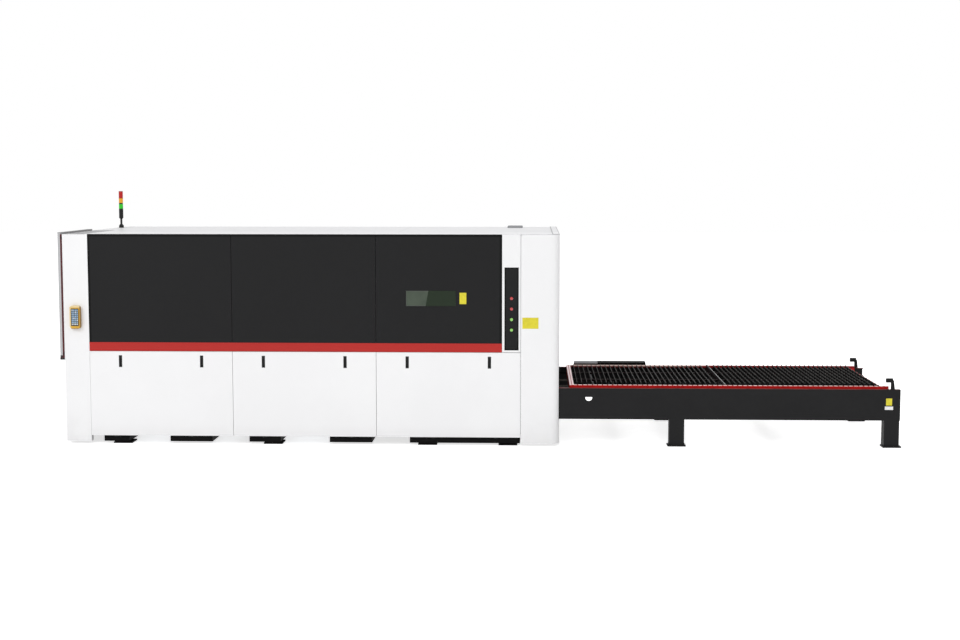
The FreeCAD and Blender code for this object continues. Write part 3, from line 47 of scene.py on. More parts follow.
scene.view_settings.view_transform = "Standard"


# ---------------------------------------------------------------- colours
def srgb(red, green, blue):
    """Linear colour from the 0-255 numbers of a screen, by the standard curve."""
    out = []
    for value in (red, green, blue):
        v = value / 255
        out.append(v / 12.92 if v <= 0.04045 else ((v + 0.055) / 1.055) ** 2.4)
    return (*out, 1.0)


def shade(colour, factor):
    """The same colour, darker or paler by a factor."""
    return (*(min(1.0, c * factor) for c in colour[:3]), 1.0)


WHITE = srgb(243, 243, 244)
ROOF_GREY = srgb(214, 214, 216)
SEAM_GREY = srgb(150, 151, 153)
SKIN_GREY = srgb(186, 186, 188)
DOOR_RED = srgb(74, 20, 25)
CHARCOAL = srgb(28, 28, 29)
BAND_RED = srgb(180, 44, 40)
PALLET_RED = srgb(182, 13, 11)
BLACK = srgb(10, 10, 11)
SLAT_DARK = srgb(36, 27, 26)
YELLOW = srgb(208, 162, 60)
GLASS_GREEN = srgb(24, 38, 21)
ANODISED = srgb(120, 124, 130)


# ---------------------------------------------------------------- places
# the machine's own zero, the front panels' lower left corner, in the model's frame
ORIGIN = Vector((-3.915, -1.239, 0.0))
MM_PER_M = 1000
AXES = "XYZ"
UP, BACK, FRONT, RIGHT = (0, 0, 1), (0, 1, 0), (0, -1, 0), (1, 0, 0)


def place(x, y, z):
    """A point given in the machine's own millimetres, in the model's metres."""
    return ORIGIN + Vector((x, y, z)) / MM_PER_M


def spot(axis, distance):
    """One coordinate of such a point, along the axis named."""
    return ORIGIN[AXES.index(axis)] + distance / MM_PER_M


def machine_corners(box):
    """The two corners of a box of the model, in the machine's own millimetres."""
    return [(corner - ORIGIN) * MM_PER_M for corner in box]


# ---------------------------------------------------------------- shader building
# the stretch of a noise over which a tone or a sheen changes
NARROW = (0.35, 0.65)
WIDE = (0.3, 0.7)
# the places of the colour sockets on a mix node
MIX_COLOURS, MIX_RESULT = (6, 7), 2


class Shader:
    """A material with a Principled shader, and short names for the nodes that feed it."""

    def __init__(self, name, colour, roughness, metallic=0.0, **flat):
        self.mat = bpy.data.materials.new(name)
        self.mat.use_nodes = True
        self.tree = self.mat.node_tree
        self.bsdf = self.tree.nodes["Principled BSDF"]
        self.bsdf.inputs["Base Color"].default_value = colour
        self.bsdf.inputs["Roughness"].default_value = roughness
        self.bsdf.inputs["Metallic"].default_value = metallic
        for key, value in flat.items():
            self.bsdf.inputs[key.replace("_", " ")].default_value = value
        self.relief = None
        texture = self.node("ShaderNodeTexCoord")
        self.coords = texture.outputs["Object"]
        self.normal = texture.outputs["Normal"]

    def node(self, kind, **settings):
        made = self.tree.nodes.new(kind)
        for key, value in settings.items():
            setattr(made, key, value)
        return made

    def link(self, source, target):
        self.tree.links.new(source, target)

    def noise(self, scale, detail=3.0, rough=0.55, stretch=None):
        """Noise over the object, its coordinates multiplied by stretch where that is given."""
        field = self.coords
        if stretch:
            mapping = self.node("ShaderNodeMapping")
            mapping.inputs["Scale"].default_value = stretch
            self.link(self.coords, mapping.inputs["Vector"])
            field = mapping.outputs["Vector"]
        made = self.node("ShaderNodeTexNoise")
        made.inputs["Scale"].default_value = scale
        made.inputs["Detail"].default_value = detail
        made.inputs["Roughness"].default_value = rough
        self.link(field, made.inputs["Vector"])
        return made.outputs["Fac"]

    def component(self, vector, axis):
        """One coordinate of a vector."""
        split = self.node("ShaderNodeSeparateXYZ")
        self.link(vector, split.inputs[0])
        return split.outputs[AXES.index(axis)]

    def along(self, axis):
        """The place along an axis, in the model's metres."""
        return self.component(self.coords, axis)

    def math(self, operation, a, b=0.0):
        made = self.node("ShaderNodeMath", operation=operation)
        for slot, value in enumerate((a, b)):
            if isinstance(value, (int, float)):
                made.inputs[slot].default_value = value
            else:
                self.link(value, made.inputs[slot])
        return made.outputs[0]

    def between(self, value, low, high, to_low=0.0, to_high=1.0):
        """Turns one range of numbers softly into another, and holds its ends."""
        made = self.node("ShaderNodeMapRange", interpolation_type="SMOOTHSTEP")
        for slot, number in zip(("From Min", "From Max", "To Min", "To Max"),
                                (low, high, to_low, to_high)):
            made.inputs[slot].default_value = number
        self.link(value, made.inputs["Value"])
        return made.outputs["Result"]

    def mix(self, factor, first, second):
        """The first colour where the factor is 0, the second where it is 1."""
        made = self.node("ShaderNodeMix", data_type="RGBA")
        self.link(factor, made.inputs["Factor"])
        for slot, value in zip(MIX_COLOURS, (first, second)):
            if isinstance(value, tuple):
                made.inputs[slot].default_value = value
            else:
                self.link(value, made.inputs[slot])
        return made.outputs[MIX_RESULT]

    # masks: 1 where something holds, 0 elsewhere
    def ramp(self, axis, none, full):
        """A mask that rises from one place along an axis to another."""
        return self.between(self.along(axis), none, full)

    def inside(self, axis, low, high, soft=0.002):
        """A mask of what lies between two places along an axis."""
        value = self.along(axis)
        return self.both(self.between(value, low - soft, low + soft),
                         self.between(value, high + soft, high - soft))

    def machine_ramp(self, axis, none, full):
        """The same as ramp, between places in the machine's own millimetres."""
        return self.ramp(axis, spot(axis, none), spot(axis, full))

    def machine_inside(self, axis, low, high, soft=2):
        """The same as inside, between places in the machine's own millimetres."""
        return self.inside(axis, spot(axis, low), spot(axis, high), soft / MM_PER_M)

    def towards(self, axis, sign=1.0):
        """A mask of the faces that look along an axis."""
        slanting, square = 0.5, 0.8
        looks = self.math("MULTIPLY", self.component(self.normal, axis), sign)
        return self.between(looks, slanting, square)

    def both(self, first, *more):
        """A mask of what all these masks hold."""
        for mask in more:
            first = self.math("MULTIPLY", first, mask)
        return first

    def either(self, first, *more):
        """A mask of what any of these masks holds."""
        for mask in more:
            first = self.math("MAXIMUM", first, mask)
        return first

    def opposite(self, mask):
        """A mask of what this one leaves out."""
        return self.math("SUBTRACT", 1.0, mask)

    # what a surface gets
    def uneven(self, field, colour, down, up):
        """A colour whose tone drifts between two factors with a noise."""
        return self.mix(self.between(field, *NARROW), shade(colour, down), shade(colour, up))

    def colour(self, socket):
        self.link(socket, self.bsdf.inputs["Base Color"])

    def sheen(self, field, low, high):
        """Roughness that drifts between two numbers with a noise."""
        self.link(self.between(field, *WIDE, low, high), self.bsdf.inputs["Roughness"])

    def bump(self, height, strength, distance):
        """Adds one more layer of relief over those already there."""
        made = self.node("ShaderNodeBump")
        made.inputs["Strength"].default_value = strength
        made.inputs["Distance"].default_value = distance
        self.link(height, made.inputs["Height"])
        if self.relief:
            self.link(self.relief, made.inputs["Normal"])
        self.relief = made.outputs["Normal"]
        self.link(self.relief, self.bsdf.inputs["Normal"])

    def peel(self, strength, scale=700.0):
        """The fine orange peel of baked powder paint."""
        self.bump(self.noise(scale, detail=2.0), strength, distance=0.0006)


# ---------------------------------------------------------------- general finishes
def powder_coat(name, colour, roughness=0.42, grain=0.05, dust=0.0, tone=0.03, specular=0.5):
    """Baked powder paint: fine orange peel, faint uneven tone, dust towards the floor."""
    s = Shader(name, colour, roughness, Specular_IOR_Level=specular)
    base = s.uneven(s.noise(1.3, detail=4.0), colour, 1 - tone, 1 + tone)
    if dust:
        dust_top = 0.45
        low = s.between(s.along("Z"), dust_top, 0.0, 0.0, dust)
        patch = s.both(low, s.between(s.noise(5.0, detail=5.0), 0.3, 0.75))
        base = s.mix(patch, base, srgb(140, 134, 126))
    s.colour(base)
    s.sheen(s.noise(60.0, detail=2.0), roughness - 0.04, roughness + 0.05)
    s.peel(grain)
    return s.mat


def rough_steel(name, colour, roughness, stretch=(1, 1, 1), metallic=1.0, contrast=0.12):
    """Bare metal with drawn streaks along one direction and an uneven sheen."""
    s = Shader(name, colour, roughness, metallic)
    streaks = s.noise(90.0, detail=4.0, rough=0.6, stretch=stretch)
    s.colour(s.mix(s.between(streaks, *WIDE), shade(colour, 1 - contrast),
                   shade(colour, 1 + contrast)))
    s.sheen(s.noise(25.0), roughness - 0.08, roughness + 0.1)
    s.bump(streaks, strength=0.12, distance=0.0004)
    return s.mat


def plastic(name, colour, roughness, grain=0.1, **flat):
    """Moulded plastic with a fine spark-eroded grain."""
    s = Shader(name, colour, roughness, **flat)
    s.colour(s.uneven(s.noise(30.0), colour, 0.94, 1.05))
    s.bump(s.noise(1800.0, detail=2.0), grain, distance=0.0003)
    return s.mat


# ---------------------------------------------------------------- finishes that follow a place
def pallet_paint(name, node):
    """Red frame paint with painted highlights on the rims' tops, and painted shade inside where
    the slats stand.
    """
    low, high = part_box(node)
    # the centre beam between the slats' halves stands this much above the rims
    beam_proud = 0.011
    rim_top = high.z - beam_proud
    skin, behind, side, end_beam = 0.003, 0.006, 0.028, 0.095
    s = Shader(name, PALLET_RED, 0.4, Specular_IOR_Level=0.15)
    grime = s.noise(14.0, detail=5.0)
    red = s.mix(s.between(grime, 0.35, 0.7), PALLET_RED, shade(PALLET_RED, 0.82))
    # painted shade: all but the outer faces and the right end beam go near black
    inside_shade = s.mix(s.between(grime, *WIDE), srgb(16, 6, 7), srgb(7, 4, 4))
    outer = s.either(s.ramp("Y", low.y + behind, low.y + skin),
                     s.ramp("Y", high.y - behind, high.y - skin),
                     s.ramp("X", low.x + behind, low.x + skin),
                     s.ramp("X", high.x - end_beam - 0.005, high.x - end_beam))
    base = s.mix(outer, inside_shade, red)
    # the far rim shows above the slats: painted shade darkens the upper part of its inner face,
    # and a painted highlight on its crest fades from pale to red
    far_rim = s.ramp("Y", high.y - side - 0.004, high.y - side - 0.002)
    face_foot, crest_foot = rim_top - 0.020, rim_top - 0.009
    face = s.ramp("Z", face_foot - 0.004, face_foot)
    base = s.mix(s.both(far_rim, face), base, srgb(126, 16, 16))
    middle = (low.x + high.x) / 2
    crest_highlight = s.mix(s.ramp("X", middle - 0.5, middle + 0.1), srgb(255, 222, 212),
                  srgb(150, 20, 24))
    crest = s.ramp("Z", crest_foot - 0.002, crest_foot)
    base = s.mix(s.both(far_rim, crest), base, crest_highlight)
    # a painted highlight runs along the front rim's upper edge, palest between the slats' feet,
    # with painted shade at the feet
    edge_highlight = s.both(s.ramp("Y", low.y + side + 0.002, low.y + side - 0.002),
                  s.inside("Z", rim_top - 0.003, rim_top + 0.004))
    first_slat, pitch = low.x + 0.072, 0.05
    beat = s.math("FRACT", s.math("DIVIDE", s.math("SUBTRACT", s.along("X"), first_slat), pitch))
    foot = s.between(beat, 0.36, 0.26)
    pale = s.mix(s.between(s.noise(40.0, detail=4.0), 0.4, 0.7), srgb(250, 226, 222),
                 srgb(232, 172, 168))
    base = s.mix(edge_highlight, base, s.mix(foot, pale, srgb(176, 84, 80)))
    # a painted highlight covers the left rim's top, with painted shade in the groove along it
    pale_right, groove_left, groove_right = low.x + 0.040, low.x + 0.016, low.x + 0.026
    left_rim = s.both(s.towards("Z"), s.ramp("X", pale_right + 0.004, pale_right),
                      s.inside("Z", rim_top - 0.006, rim_top + 0.004))
    groove = s.inside("X", groove_left, groove_right, 0.001)
    base = s.mix(left_rim, base, s.mix(groove, srgb(255, 228, 228), srgb(188, 120, 124)))
    # painted shade on the bars under the slats and on the centre beam, and a painted highlight
    # along the centre beam's edge
    bar_foot, bar_top = rim_top - 0.017, rim_top - 0.009
    bars = s.both(s.towards("Z"), s.inside("Z", bar_foot, bar_top),
                  s.ramp("X", high.x - end_beam, high.x - end_beam - 0.005))
    base = s.mix(bars, base, srgb(66, 32, 38))
    beam = s.ramp("Z", rim_top + 0.006, rim_top + 0.008)
    base = s.mix(beam, base, srgb(26, 26, 26))
    edge_left, edge_right, edge_back = low.x + 1.555, low.x + 1.561, high.y - 0.28
    bright = s.both(beam, s.inside("X", edge_left, edge_right, 0.0005),
                    s.ramp("Y", edge_back, edge_back - 0.02))
    s.colour(s.mix(bright, base, srgb(186, 186, 186)))
    s.sheen(grime, 0.34, 0.5)
    s.peel(0.12, scale=500.0)
    return s.mat


def slat_paint(name, node):
    """Laser-cut sheet on edge: scaled grey near the top, turned black lower down by painted
    shade.
    """
    low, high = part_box(node)
    top, halfway, shade_reach = high.z, low.x + 1.48, low.y + 0.15
    s = Shader(name, SLAT_DARK, 0.6, Specular_IOR_Level=0.02)
    streaks = s.noise(70.0, detail=4.0, rough=0.6, stretch=(1, 0.2, 1))
    streaked = s.between(streaks, *WIDE)
    left = s.mix(streaked, srgb(108, 107, 106), srgb(72, 71, 71))
    # the half past the centre beam is used more
    right = s.mix(streaked, srgb(92, 91, 90), srgb(60, 59, 59))
    steel = s.mix(s.ramp("X", halfway - 0.01, halfway + 0.01), left, right)
    # painted shade: below their tops the slats go black, as the gaps between them are in shade
    gap_shade = s.mix(streaked, srgb(5, 4, 4), srgb(1, 1, 1))
    base = s.mix(s.ramp("Z", top - 0.011, top - 0.020), steel, gap_shade)
    # burnt edges and beads of spatter along the teeth
    crest = s.both(s.ramp("Z", top - 0.008, top - 0.001),
                   s.between(s.noise(120.0), 0.5, 0.62))
    base = s.mix(crest, base, srgb(100, 93, 88))
    # painted shade darkens the ends by the front rim
    end_shade = s.ramp("Y", shade_reach + 0.02, shade_reach - 0.02)
    s.colour(s.mix(end_shade, base, srgb(4, 3, 3)))
    s.sheen(s.noise(40.0), 0.5, 0.75)
    s.bump(s.noise(260.0, detail=4.0), strength=0.25, distance=0.0008)
    return s.mat


def seamed_roof(name):
    """Pale roof sheets: folded seams, and the outline of the plate that caps the gate's slot."""
    low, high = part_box("roof_panel")
    s = Shader(name, ROOF_GREY, 0.4, Specular_IOR_Level=0.25)
    base = s.uneven(s.noise(1.6, detail=4.0), ROOF_GREY, 0.985, 1.015)
    sheets, half_fold = 3, 0.002
    for n in range(1, sheets):
        x = low.x + (high.x - low.x) * n / sheets
        fold = s.inside("X", x - half_fold, x + half_fold, 0.001)
        base = s.mix(fold, base, srgb(168, 170, 172))
    # the strip behind the front panels is paler, as they are folded over the roof there
    strip_back = 570
    base = s.mix(s.machine_ramp("Y", strip_back + 20, strip_back), base, shade(ROOF_GREY, 1.09))
    # painted shade darkens the roof over the front of the left column, and a seam runs behind it
    shade_right, cover_and_shade_back = -26, 1125
    cover = s.both(s.machine_ramp("X", shade_right + 6, shade_right),
                   s.machine_ramp("Y", cover_and_shade_back + 10, cover_and_shade_back))
    base = s.mix(cover, base, srgb(140, 140, 142))
    seam_left, seam_right, seam_front = -168, -156, 2000
    seam = s.both(s.machine_inside("X", seam_left, seam_right, 4),
                  s.machine_ramp("Y", seam_front - 10, seam_front))
    base = s.mix(seam, base, srgb(150, 150, 152))
    # the front edge is dark over the panels and grey over the hood
    edge_left, edge_right, edge_back = 2, 4150, 30
    edge = s.both(s.towards("Y", -1.0), s.machine_inside("X", edge_left, edge_right),
                  s.machine_ramp("Y", edge_back + 10, edge_back))
    base = s.mix(edge, base, srgb(14, 14, 15))
    hood_left, brow_top = 4346, high.z - 0.0045
    brow = s.both(s.machine_ramp("X", hood_left - 4, hood_left),
                  s.ramp("Z", brow_top, brow_top - 0.0005))
    base = s.mix(brow, base, SEAM_GREY)
    # the cap over the gate's slot stands 2 mm proud and has a grey rim
    cap = high.z - 0.002
    above = s.ramp("Z", cap - 0.0005, cap + 0.0005)
    field_left, field_right, field_front, field_back = 4660, 4716, 12, 2430
    field = s.both(s.machine_inside("X", field_left, field_right),
                   s.machine_inside("Y", field_front, field_back, 3))
    s.colour(s.mix(s.both(above, s.opposite(field)), base, SEAM_GREY))
    s.sheen(s.noise(30.0), 0.36, 0.44)
    s.bump(s.noise(600.0, detail=2.0), strength=0.02, distance=0.0004)
    return s.mat


def capped_door(name, box, colour, cloud, tones, crown, grain):
    """One layer of the sliding door: dark cap along its foot, grey along its upper edge."""
    low, high = box
    crown_width, crown_colour = crown
    crown_foot = high.z - crown_width
    s = Shader(name, colour, 0.42, Specular_IOR_Level=0.3)
    base = s.uneven(s.noise(cloud, detail=4.0), colour, *tones)
    base = s.mix(s.ramp("Z", low.z + 0.022, low.z + 0.019), base, CHARCOAL)
    s.colour(s.mix(s.ramp("Z", crown_foot, crown_foot + 0.002), base, crown_colour))
    s.peel(grain)
    return s.mat


def front_door_paint(name):
    """White door paint; the hinge leaves below and behind the door's sheet are black."""
    s = Shader(name, WHITE, 0.45, Specular_IOR_Level=0.35)
    sheet_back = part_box("front_door_left")[0].y + 0.0262
    bottom = spot("Z", 86)
    base = s.uneven(s.noise(1.3, detail=4.0), WHITE, 0.99, 1.01)
    toe = s.between(s.along("Z"), bottom + 0.14, bottom, 0.0, 0.05)
    base = s.mix(toe, base, srgb(150, 146, 140))
    hinge = s.either(s.ramp("Z", bottom - 0.0002, bottom - 0.0006),
                     s.ramp("Y", sheet_back, sheet_back + 0.0006))
    s.colour(s.mix(hinge, base, BLACK))
    s.sheen(s.noise(60.0, detail=2.0), 0.41, 0.5)
    s.peel(0.05)
    return s.mat


def edged_panel(name, nodes, border, foot):
    """Charcoal cladding, darker in the rolled edge round the run; foot is its lower width."""
    low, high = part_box(nodes[0])[0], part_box(nodes[-1])[1]
    s = Shader(name, CHARCOAL, 0.5, Specular_IOR_Level=0.12)
    base = s.uneven(s.noise(1.3, detail=4.0), CHARCOAL, 0.98, 1.03)
    field = s.both(s.inside("X", low.x + border, high.x - border, 0.001),
                   s.inside("Z", low.z + foot, high.z - border, 0.001))
    s.colour(s.mix(field, srgb(4, 4, 5), base))
    s.sheen(s.noise(60.0, detail=2.0), 0.46, 0.55)
    s.peel(0.06)
    return s.mat


def drive_cover_paint(name):
    """Charcoal cover with painted shade along its top, and its left end in grey primer."""
    low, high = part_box("exchange_drive_cover")
    primed_right = low.x + 0.258
    s = Shader(name, CHARCOAL, 0.6, Specular_IOR_Level=0.06)
    base = s.uneven(s.noise(8.0, detail=4.0), CHARCOAL, 0.94, 1.06)
    # painted shade: near black over the upper part of the cover
    base = s.mix(s.ramp("Z", high.z - 0.032, high.z - 0.030), base, srgb(9, 9, 9))
    primed = s.both(s.ramp("X", primed_right + 0.004, primed_right),
                    s.ramp("Z", high.z - 0.016, high.z - 0.012))
    s.colour(s.mix(primed, base, srgb(150, 152, 154)))
    s.peel(0.12, scale=600.0)
    return s.mat


def table_side_paint(name):
    """Satin charcoal, with a painted reflection of the red pallet on its top flange."""
    s = Shader(name, CHARCOAL, 0.5, Specular_IOR_Level=0.12)
    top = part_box("table_side_near")[1].z
    base = s.uneven(s.noise(3.0, detail=5.0), CHARCOAL, 0.95, 1.06)
    # painted reflection of the red pallet on the top flange
    painted_light = s.both(s.towards("Z"), s.ramp("Z", top - 0.004, top - 0.001),
                    s.between(s.noise(9.0, detail=4.0), 0.2, 0.6))
    s.colour(s.mix(painted_light, base, srgb(122, 50, 48)))
    s.sheen(s.noise(20.0), 0.45, 0.58)
    s.peel(0.12, scale=600.0)
    return s.mat


def head_finish(name):
    """From the tip up: copper nozzle, pale ceramic ring, steel barrel and anodised body."""
    low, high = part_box("cutting_head")
    nozzle_top, ring_top, barrel_top = low.z + 0.020, low.z + 0.036, high.z - 0.211
    s = Shader(name, ANODISED, 0.35, 0.8)
    base = s.mix(s.ramp("Z", nozzle_top, nozzle_top + 0.001), srgb(190, 112, 70),
                 srgb(226, 222, 214))
    base = s.mix(s.ramp("Z", ring_top, ring_top + 0.001), base, srgb(168, 170, 174))
    base = s.mix(s.ramp("Z", barrel_top, barrel_top + 0.002), base, srgb(96, 100, 108))
    s.colour(base)
    s.sheen(s.noise(90.0), 0.28, 0.42)
    s.bump(s.noise(500.0, detail=2.0, rough=0.5, stretch=(1, 1, 0.2)), 0.08, 0.0003)
    return s.mat


def lens(name, colour, node, dark_above=None):
    """Ribbed lens of the signal column, black where one lens sits on the next."""
    low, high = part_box(node)
    s = Shader(name, colour, 0.3, Specular_IOR_Level=0.3)
    ribs = s.node("ShaderNodeTexWave", bands_direction="Z")
    ribs.inputs["Scale"].default_value = 60.0
    s.link(s.coords, ribs.inputs["Vector"])
    base = s.mix(ribs.outputs["Fac"], shade(colour, 0.86), shade(colour, 1.1))
    rim = high.z - 0.003 if dark_above is None else low.z + dark_above
    s.colour(s.mix(s.ramp("Z", rim, rim + 0.001), base, srgb(22, 22, 23)))
    s.bump(ribs.outputs["Fac"], strength=0.3, distance=0.0008)
    return s.mat


def glass_sheet(name):
    """Dark green laser glass, its left part paler behind a slanting edge of reflected light."""
    low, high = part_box("viewing_window")
    rim_width, slope, lit_right = 0.009, 0.18, low.x + 0.196
    s = Shader(name, GLASS_GREEN, 0.25, Specular_IOR_Level=0.2)
    slant = s.math("MULTIPLY", s.math("SUBTRACT", s.along("Z"), low.z), slope)
    edge = s.math("SUBTRACT", s.along("X"), slant)
    lit = s.between(edge, lit_right + 0.003, lit_right - 0.003)
    pale = s.mix(s.between(s.noise(3.0), *WIDE), srgb(63, 73, 62), srgb(75, 85, 73))
    base = s.mix(lit, GLASS_GREEN, pale)
    rim = s.opposite(s.both(s.inside("X", low.x + rim_width, high.x - rim_width),
                            s.inside("Z", low.z + rim_width, high.z - rim_width)))
    s.colour(s.mix(s.math("MULTIPLY", s.both(rim, lit), 0.4), base, srgb(84, 86, 84)))
    return s.mat


def pendant_rubber(name):
    """Golden rubber housing, with a painted highlight at its upper left and painted shade at its
    lower right.
    """
    low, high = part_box("pendant_body")
    s = Shader(name, YELLOW, 0.5, Specular_IOR_Level=0.35)
    wear = s.noise(30.0, detail=4.0)
    base = s.uneven(wear, YELLOW, 0.92, 1.06)
    # painted highlight at the upper left
    painted_light = s.either(s.ramp("X", low.x + 0.020, low.x + 0.004),
                      s.ramp("Z", high.z - 0.026, high.z - 0.010))
    base = s.mix(s.math("MULTIPLY", painted_light, 0.75), base, srgb(240, 222, 176))
    # painted shade at the lower right
    lower_right_shade = s.either(s.ramp("X", high.x - 0.010, high.x - 0.001),
                      s.ramp("Z", low.z + 0.010, low.z + 0.001))
    s.colour(s.mix(s.math("MULTIPLY", lower_right_shade, 0.8), base, srgb(132, 98, 44)))
    s.sheen(wear, 0.44, 0.58)
    s.bump(s.noise(1800.0, detail=2.0), strength=0.2, distance=0.0003)
    return s.mat


# ---------------------------------------------------------------- the materials
PANELS = ("front_panel_left", "front_panel_middle", "front_panel_right")
MATS = {
    "white": powder_coat("white_powder_coat", WHITE, 0.45, dust=0.08, tone=0.01, specular=0.35),
    "front_door": front_door_paint("front_door_coat"),
    "roof": seamed_roof("roof_powder_coat"),
    "cable_box": powder_coat("cable_box_coat", SEAM_GREY, 0.5, specular=0.2),
    "skin": capped_door("door_skin_coat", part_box("side_door_skin"), SKIN_GREY, cloud=1.8,
                        tones=(0.97, 1.02), crown=(0.004, srgb(122, 122, 124)), grain=0.05),
    "door_red": capped_door("door_red_coat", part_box("side_door_inner"), DOOR_RED, cloud=2.4,
                            tones=(0.93, 1.05), crown=(0.020, srgb(132, 131, 132)), grain=0.06),
    # the negative foot leaves the panels' lower edge without a dark line
    "charcoal": edged_panel("charcoal_coat", PANELS, border=0.023, foot=-0.01),
    "indicator": edged_panel("indicator_coat", ("indicator_panel",), border=0.014, foot=0.014),
    "table": powder_coat("table_coat", CHARCOAL, 0.5, grain=0.1, tone=0.04, specular=0.12),
    "table_side": table_side_paint("table_side_coat"),
    "drive_cover": drive_cover_paint("drive_cover_coat"),
    "band": powder_coat("band_red_coat", BAND_RED, tone=0.02, specular=0.2),
    "black": powder_coat("underframe_coat", BLACK, 0.6, grain=0.2, dust=0.02, tone=0.06,
                         specular=0.06),
    "gate": powder_coat("gate_coat", srgb(188, 188, 190), 0.45),
    "upper_frame": pallet_paint("upper_pallet_paint", "upper_pallet_frame"),
    "lower_frame": pallet_paint("lower_pallet_paint", "lower_pallet_frame"),
    "upper_slats": slat_paint("upper_slat_steel", "upper_pallet_slats"),
    "lower_slats": slat_paint("lower_slat_steel", "lower_pallet_slats"),
    "steel": rough_steel("ground_steel", srgb(176, 178, 181), 0.3, stretch=(0.1, 1, 1)),
    "wheel": rough_steel("turned_steel", srgb(84, 85, 87), 0.4, stretch=(1, 0.1, 1),
                         metallic=0.7),
    "chain": rough_steel("oiled_chain", srgb(74, 70, 66), 0.38, metallic=0.8, contrast=0.25),
    "zinc": rough_steel("zinc_sheet", srgb(168, 171, 175), 0.45, contrast=0.16),
    "zinc_bolt": rough_steel("plated_bolts", srgb(120, 122, 124), 0.4, metallic=0.9),
    "aluminium": rough_steel("beam_aluminium", srgb(190, 192, 195), 0.38, stretch=(1, 0.08, 1)),
    "anodised": rough_steel("anodised_plate", ANODISED, 0.35, stretch=(1, 1, 0.2)),
    "head": head_finish("cutting_head_finish"),
    "black_plastic": plastic("black_plastic", srgb(15, 15, 16), 0.5, Specular_IOR_Level=0.25),
    "rubber": plastic("black_rubber", srgb(14, 14, 14), 0.7, grain=0.3, Specular_IOR_Level=0.2),
    "yellow_plastic": pendant_rubber("pendant_rubber"),
    "key": plastic("pendant_keys", srgb(158, 186, 212), 0.4, grain=0.05),
    "key_grey": plastic("pendant_grey_keys", srgb(206, 216, 222), 0.4, grain=0.05),
    "screen": plastic("pendant_screen", srgb(30, 36, 46), 0.15, grain=0.0, Coat_Weight=0.5),
    "red_lens": plastic("red_lens", srgb(198, 50, 50), 0.2, grain=0.04, Coat_Weight=0.6),
    "green_lens": plastic("green_lens", srgb(140, 208, 92), 0.2, grain=0.04, Coat_Weight=0.6),
    "stack_red": lens("stack_red_lens", srgb(184, 16, 14), "stack_light_red"),
    "stack_amber": lens("stack_amber_lens", srgb(240, 168, 40), "stack_light_amber"),
    "stack_green": lens("stack_green_lens", srgb(48, 200, 40), "stack_light_green",
                        dark_above=0.051),
    "glass": glass_sheet("laser_window"),
    "sign_yellow": plastic("yellow_plate", srgb(218, 206, 40), 0.45, grain=0.05),
    "sign_white": plastic("white_plate", srgb(240, 240, 240), 0.45, grain=0.05),
}

FINISH = {
    "white": ("left_column", "left_side_wall", "indicator_column", "portal_casing",
              "rear_panels"),
    "front_door": ("front_door_left", "front_door_middle", "front_door_right"),
    "skin": ("side_door_skin",),
    "roof": ("roof_panel",),
    "cable_box": ("roof_cable_box",),
    "door_red": ("side_door_inner",),
    "charcoal": PANELS,
    "indicator": ("indicator_panel",),
    "table": ("table_legs", "table_cross_ties"),
    "table_side": ("table_side_near", "table_side_far"),
    "drive_cover": ("exchange_drive_cover",),
    "rubber": ("end_stops",),
    "band": ("front_red_band",),
    "upper_frame": ("upper_pallet_frame",),
    "lower_frame": ("lower_pallet_frame",),
    "upper_slats": ("upper_pallet_slats",),
    "lower_slats": ("lower_pallet_slats",),
    "glass": ("viewing_window",),
    "black": ("bed_side_beams", "bed_cross_beams", "levelling_feet"),
    "gate": ("gate", "gate_guides"),
    "black_plastic": ("door_pulls_left", "door_pulls_middle", "door_pulls_right",
                      "stack_light_body", "pendant_keypad"),
    "red_lens": ("button_red_lower", "button_red_upper"),
    "green_lens": ("button_green_lower", "button_green_upper"),
    "stack_red": ("stack_light_red",),
    "stack_amber": ("stack_light_amber",),
    "stack_green": ("stack_light_green",),
    "yellow_plastic": ("pendant_body",),
    "zinc": ("scrap_trays", "extraction_port"),
    "steel": ("gantry_rails", "head_slide"),
    "chain": ("exchange_chains",),
    "wheel": ("upper_wheels_left", "upper_wheels_right", "lower_wheels_left",
              "lower_wheels_right", "drive_shaft", "idler_shaft"),
    "aluminium": ("gantry_beam",),
    "anodised": ("head_carriage",),
    "head": ("cutting_head",),
}
for finish_name, nodes in FINISH.items():
    for node in nodes:
        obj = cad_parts[node]
        obj.data.materials.clear()
        obj.data.materials.append(MATS[finish_name])


